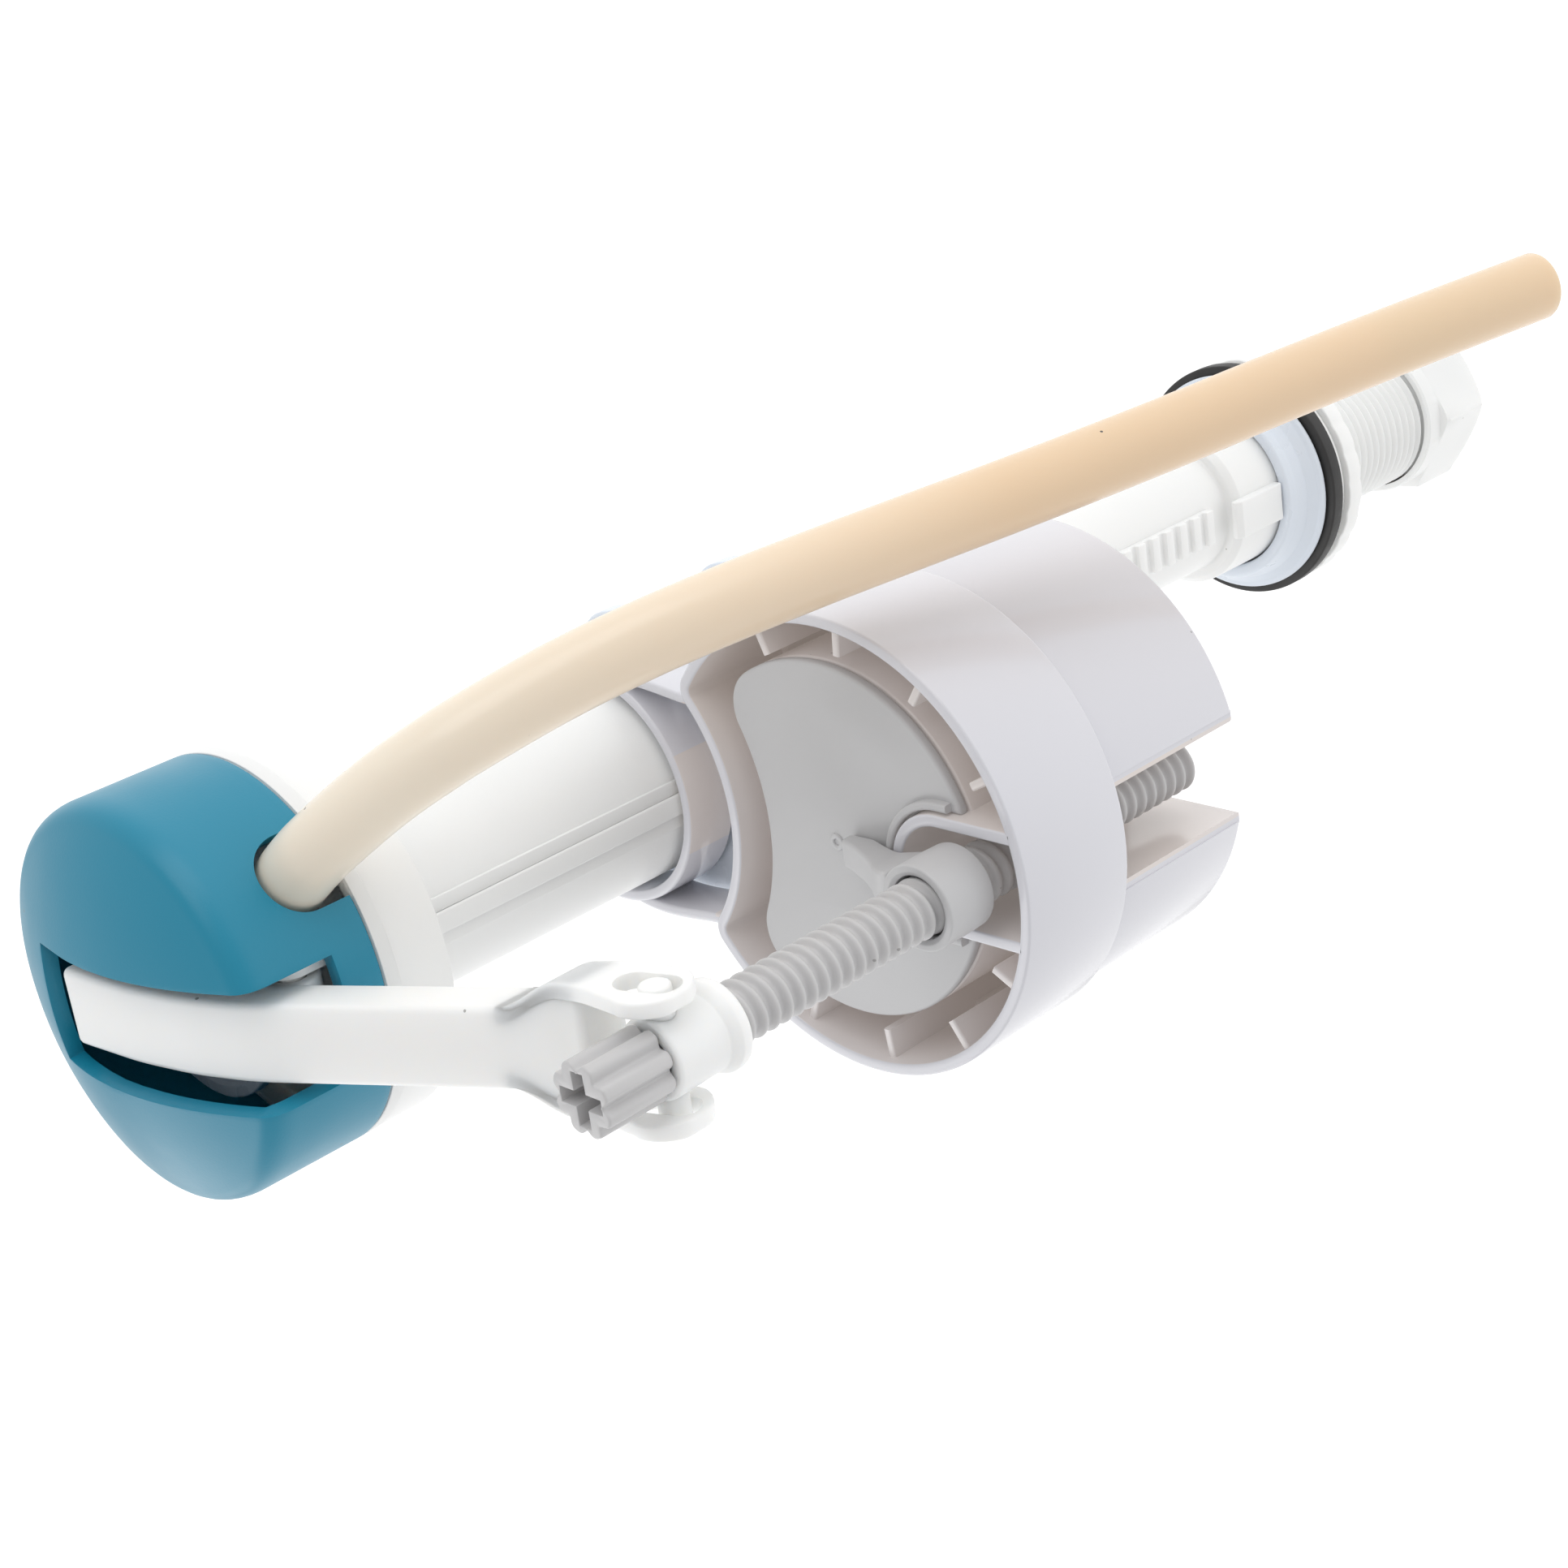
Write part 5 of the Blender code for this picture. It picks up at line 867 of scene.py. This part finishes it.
for azimuth in (-112, -84, -56, -28, 28, 56, 84, 112):
    way = np.array([math.cos(math.radians(azimuth)), math.sin(math.radians(azimuth))])
    shells.append(walled("rib", np.array([[FLOAT_X, 0]]) + way * np.linspace(25.7, 30.0, 4)[:, None], 1.2,
                         FLOAT_FOOT + 1, FLOAT_TOP - 1.5, ease=0.3))
for azimuth in (-10, 10):
    way = np.array([math.cos(math.radians(azimuth)), math.sin(math.radians(azimuth))])
    shells.append(walled("rib", way * np.linspace(25.6, 31.5, 5)[:, None], 1.2, FLOAT_FOOT + 1, 139.0, ease=0.3))
half_turn = math.radians(115)
shells.append(walled("guide_ring", arc((0, 0), 16.25, -half_turn, half_turn, 90), 1.5, 138.5, FLOAT_TOP, ease=0.4))
for side in (-1, 1):
    knots = np.array([(math.cos(math.radians(78)) * 16.4, side * math.sin(math.radians(78)) * 16.4),
                      (9.5, side * 17.6), (16.4, side * 15.6),
                      (math.cos(math.radians(38)) * 25.6, side * math.sin(math.radians(38)) * 25.6)])
    t = np.linspace(0, 1, 24)[:, None]
    curve = ((1 - t) ** 3 * knots[0] + 3 * t * (1 - t) ** 2 * knots[1] + 3 * t ** 2 * (1 - t) * knots[2]
             + t ** 3 * knots[3])
    shells.append(walled("web", curve, 1.5, 138.7, FLOAT_TOP - 0.2, ease=0.4))
lavender_grey = (0.70, 0.70, 0.745)


def painted_inside_light(material, colour, warm):
    """Paints light on the inside of the float: a warm tint and a faint glow, painted light where light comes through
    the walls.

    The mask is 1 where sqrt((x - 44.5)^2 + y^2) < 29.9 mm and z < 146.3 mm.
    """
    nodes, link = material.node_tree.nodes, material.node_tree.links.new
    surface = next(n for n in nodes if n.type == "GROUP")
    place, parts = nodes.new("ShaderNodeTexCoord"), nodes.new("ShaderNodeSeparateXYZ")
    flat, reach = nodes.new("ShaderNodeVectorMath"), nodes.new("ShaderNodeVectorMath")
    flat.operation, reach.operation = "MULTIPLY_ADD", "LENGTH"
    flat.inputs[1].default_value, flat.inputs[2].default_value = (1, 1, 0), (-FLOAT_X * 0.001, 0, 0)
    link(place.outputs["Object"], flat.inputs[0])
    link(flat.outputs[0], reach.inputs[0])
    link(place.outputs["Object"], parts.inputs[0])
    within, below, both = (nodes.new("ShaderNodeMath") for _ in range(3))
    within.operation = below.operation = "LESS_THAN"
    both.operation = "MULTIPLY"
    within.inputs[1].default_value, below.inputs[1].default_value = 0.0299, 0.1463
    link(reach.outputs["Value"], within.inputs[0])
    link(parts.outputs["Z"], below.inputs[0])
    link(within.outputs[0], both.inputs[0])
    link(below.outputs[0], both.inputs[1])
    # painted light: the warm tint stands in for light bounced round inside the float
    blend = nodes.new("ShaderNodeMix")
    blend.data_type = "RGBA"
    link(both.outputs[0], blend.inputs["Factor"])
    blend.inputs[6].default_value, blend.inputs[7].default_value = (*colour, 1), (*warm, 1)
    link(blend.outputs[2], surface.inputs["Colour"])
    # painted glow: emission inside the float stands in for light that comes through the walls
    through = nodes.new("ShaderNodeMix")
    through.data_type = "RGBA"
    link(both.outputs[0], through.inputs["Factor"])
    through.inputs[6].default_value = (0, 0, 0, 1)
    through.inputs[7].default_value = (*[c * 0.10 for c in warm], 1)
    shader = nodes["Principled BSDF"]
    link(through.outputs[2], shader.inputs["Emission Color"])
    shader.inputs["Emission Strength"].default_value = 1.0


float_grey = plastic("lavender-grey styrene", lavender_grey, (0.67, 0.67, 0.715), 0.17, 0.10, 14.0, 2600.0, 0.12,
                     dust=0.4, coat=0.2)
# painted light: a warm tint and a faint glow inside the float
painted_inside_light(float_grey, lavender_grey, (0.66, 0.585, 0.53))
fit(moulded_as_one("float_cup", shells), float_grey, "float_plastic", "float", "float_shell")

# ======================================================================================
# Float lid: a grey-white plate pressed on the air chamber, cut away round the rod channel,
# with a low fence round the cut and a sprue dimple.
# ======================================================================================
lid_grey = plastic("grey-white lid", (0.56, 0.56, 0.57), (0.53, 0.53, 0.54), 0.42, 0.14, 30.0, 2200.0, 0.4,
                   dust=0.5)
plate = slab("plate", kidney_round_channel(kidney(LID_X, LID_R, LID_HOLLOW_R, LID_CORNER_R), CHANNEL_R + WALL + 0.06),
             143.5, LID_TOP, 0.45)
fence = walled("fence", channel_path(CHANNEL_R + WALL + 0.95, 63.6), 1.1, 144.2, 146.2)
dimple = turned("dimple", [(0.45, 144.7), (1.15, 144.7), (1.15, 145.25), (0.45, 145.25)], 0.2, 32, (43.0, 0, 0))
fit(moulded_as_one("air_chamber_lid", [plate, fence, dimple]), lid_grey, "lid_plastic", "float", "float_lid")

# ======================================================================================
# Rod clip: a ring that holds the rod's thread, on a tapering arm that stands on
# the lid, so the float climbs when the rod turns.
# ======================================================================================
clip_ring = turned("ring", [(4.1, 147.2), (5.5, 147.2), (5.6, 150.0), (5.6, 155.0), (4.7, 155.0), (4.1, 154.6)], 0.3, 80,
                   (ROD_X, 0, 0))
x = end_dense(46.0, 60.6, 0.5, 0.5)
clip_top = swept(x, [(46.0, 147.2), (48.0, 147.8), (54.5, 150.8), (57.6, 153.8), (60.6, 154.6)])
clip_foot = swept(x, [(46.0, 145.3), (52.4, 145.3), (53.2, 147.2), (60.6, 147.2)])
clip_half = np.interp(x, [46.0, 48.5, 53.0, 56.5, 60.6], [1.9, 2.0, 2.1, 2.4, 3.4])
clip_arm = beam("arm", x, clip_half, clip_foot, clip_top, 0.5)
fit(moulded_as_one("rod_clip_arm", [clip_ring, clip_arm]), lid_grey, "lid_plastic", "float", "rod_clip")

# ======================================================================================
# Studio: a pale floor under the coupling nut, white surroundings a little darker on the
# camera's side, and soft panels that draw long highlights on the round walls.
# ======================================================================================
stage_mesh = bpy.data.meshes.new("studio_floor")
stage_mesh.from_pydata([(-3, -3, -0.0516), (3, -3, -0.0516), (3, 3, -0.0516), (-3, 3, -0.0516)], [], [(0, 1, 2, 3)])
studio_floor = bpy.data.objects.new("studio_floor", stage_mesh)
bpy.context.scene.collection.objects.link(studio_floor)
floor_paint = bpy.data.materials.new("pale floor")
floor_paint.use_nodes = True
paint = floor_paint.node_tree.nodes["Principled BSDF"]
paint.inputs["Base Color"].default_value = (0.40, 0.40, 0.40, 1)
paint.inputs["Roughness"].default_value = 0.9
paint.inputs["Emission Color"].default_value = (1, 1, 1, 1)
paint.inputs["Emission Strength"].default_value = 0.80
stage_mesh.materials.append(floor_paint)

world = bpy.data.worlds.new("studio")
bpy.context.scene.world = world
world.use_nodes = True
nodes, link = world.node_tree.nodes, world.node_tree.links.new
sky = nodes["Background"]
look = nodes.new("ShaderNodeTexCoord")
toward = nodes.new("ShaderNodeVectorMath")
toward.operation = "DOT_PRODUCT"
toward.inputs[1].default_value = (0.70, 0.30, 0.65)
link(look.outputs["Generated"], toward.inputs[0])
fade = nodes.new("ShaderNodeMapRange")
fade.interpolation_type = "SMOOTHSTEP"
fade.inputs["From Min"].default_value, fade.inputs["From Max"].default_value = -0.1, 0.95
fade.inputs["To Min"].default_value, fade.inputs["To Max"].default_value = 0.9, 0.58
link(toward.outputs["Value"], fade.inputs["Value"])
link(fade.outputs["Result"], sky.inputs["Strength"])
sky.inputs["Color"].default_value = (1, 1, 1, 1)


def panel(name, place, aim, size, power):
    """A soft rectangular light at a place in metres, facing a point."""
    lamp = bpy.data.lights.new(name, "AREA")
    lamp.shape, lamp.size, lamp.size_y, lamp.energy = "RECTANGLE", *size, power
    made = bpy.data.objects.new(name, lamp)
    made.location = place
    way = np.array(aim, float) - place
    made.rotation_mode = "QUATERNION"
    made.rotation_quaternion = Vector(way).to_track_quat("-Z", "Y")
    bpy.context.scene.collection.objects.link(made)


panel("left_panel", (-0.35, -0.55, 0.55), (0.02, 0, 0.12), (0.5, 0.9), 1.6)
panel("right_panel", (0.15, 0.75, 0.45), (0.02, 0, 0.12), (0.5, 0.9), 2.0)

lens = bpy.data.cameras.new("camera")
lens.lens, lens.sensor_width = 65.24, 36.0
lens.clip_start, lens.clip_end = 0.01, 20
camera = bpy.data.objects.new("camera", lens)
right, down, ahead = (0.7039, -0.1349, -0.6974), (0.1755, -0.9184, 0.3547), (-0.6883, -0.3720, -0.6228)
axes = np.array([right, np.negative(down), np.negative(ahead)]).T
turn = Matrix([list(line) for line in axes]).to_quaternion()
camera.rotation_mode = "QUATERNION"
camera.rotation_quaternion = turn
camera.location = (0.2831, 0.1406, 0.3698)
bpy.context.scene.collection.objects.link(camera)
bpy.context.scene.camera = camera
bpy.context.scene.view_settings.view_transform = "Standard"
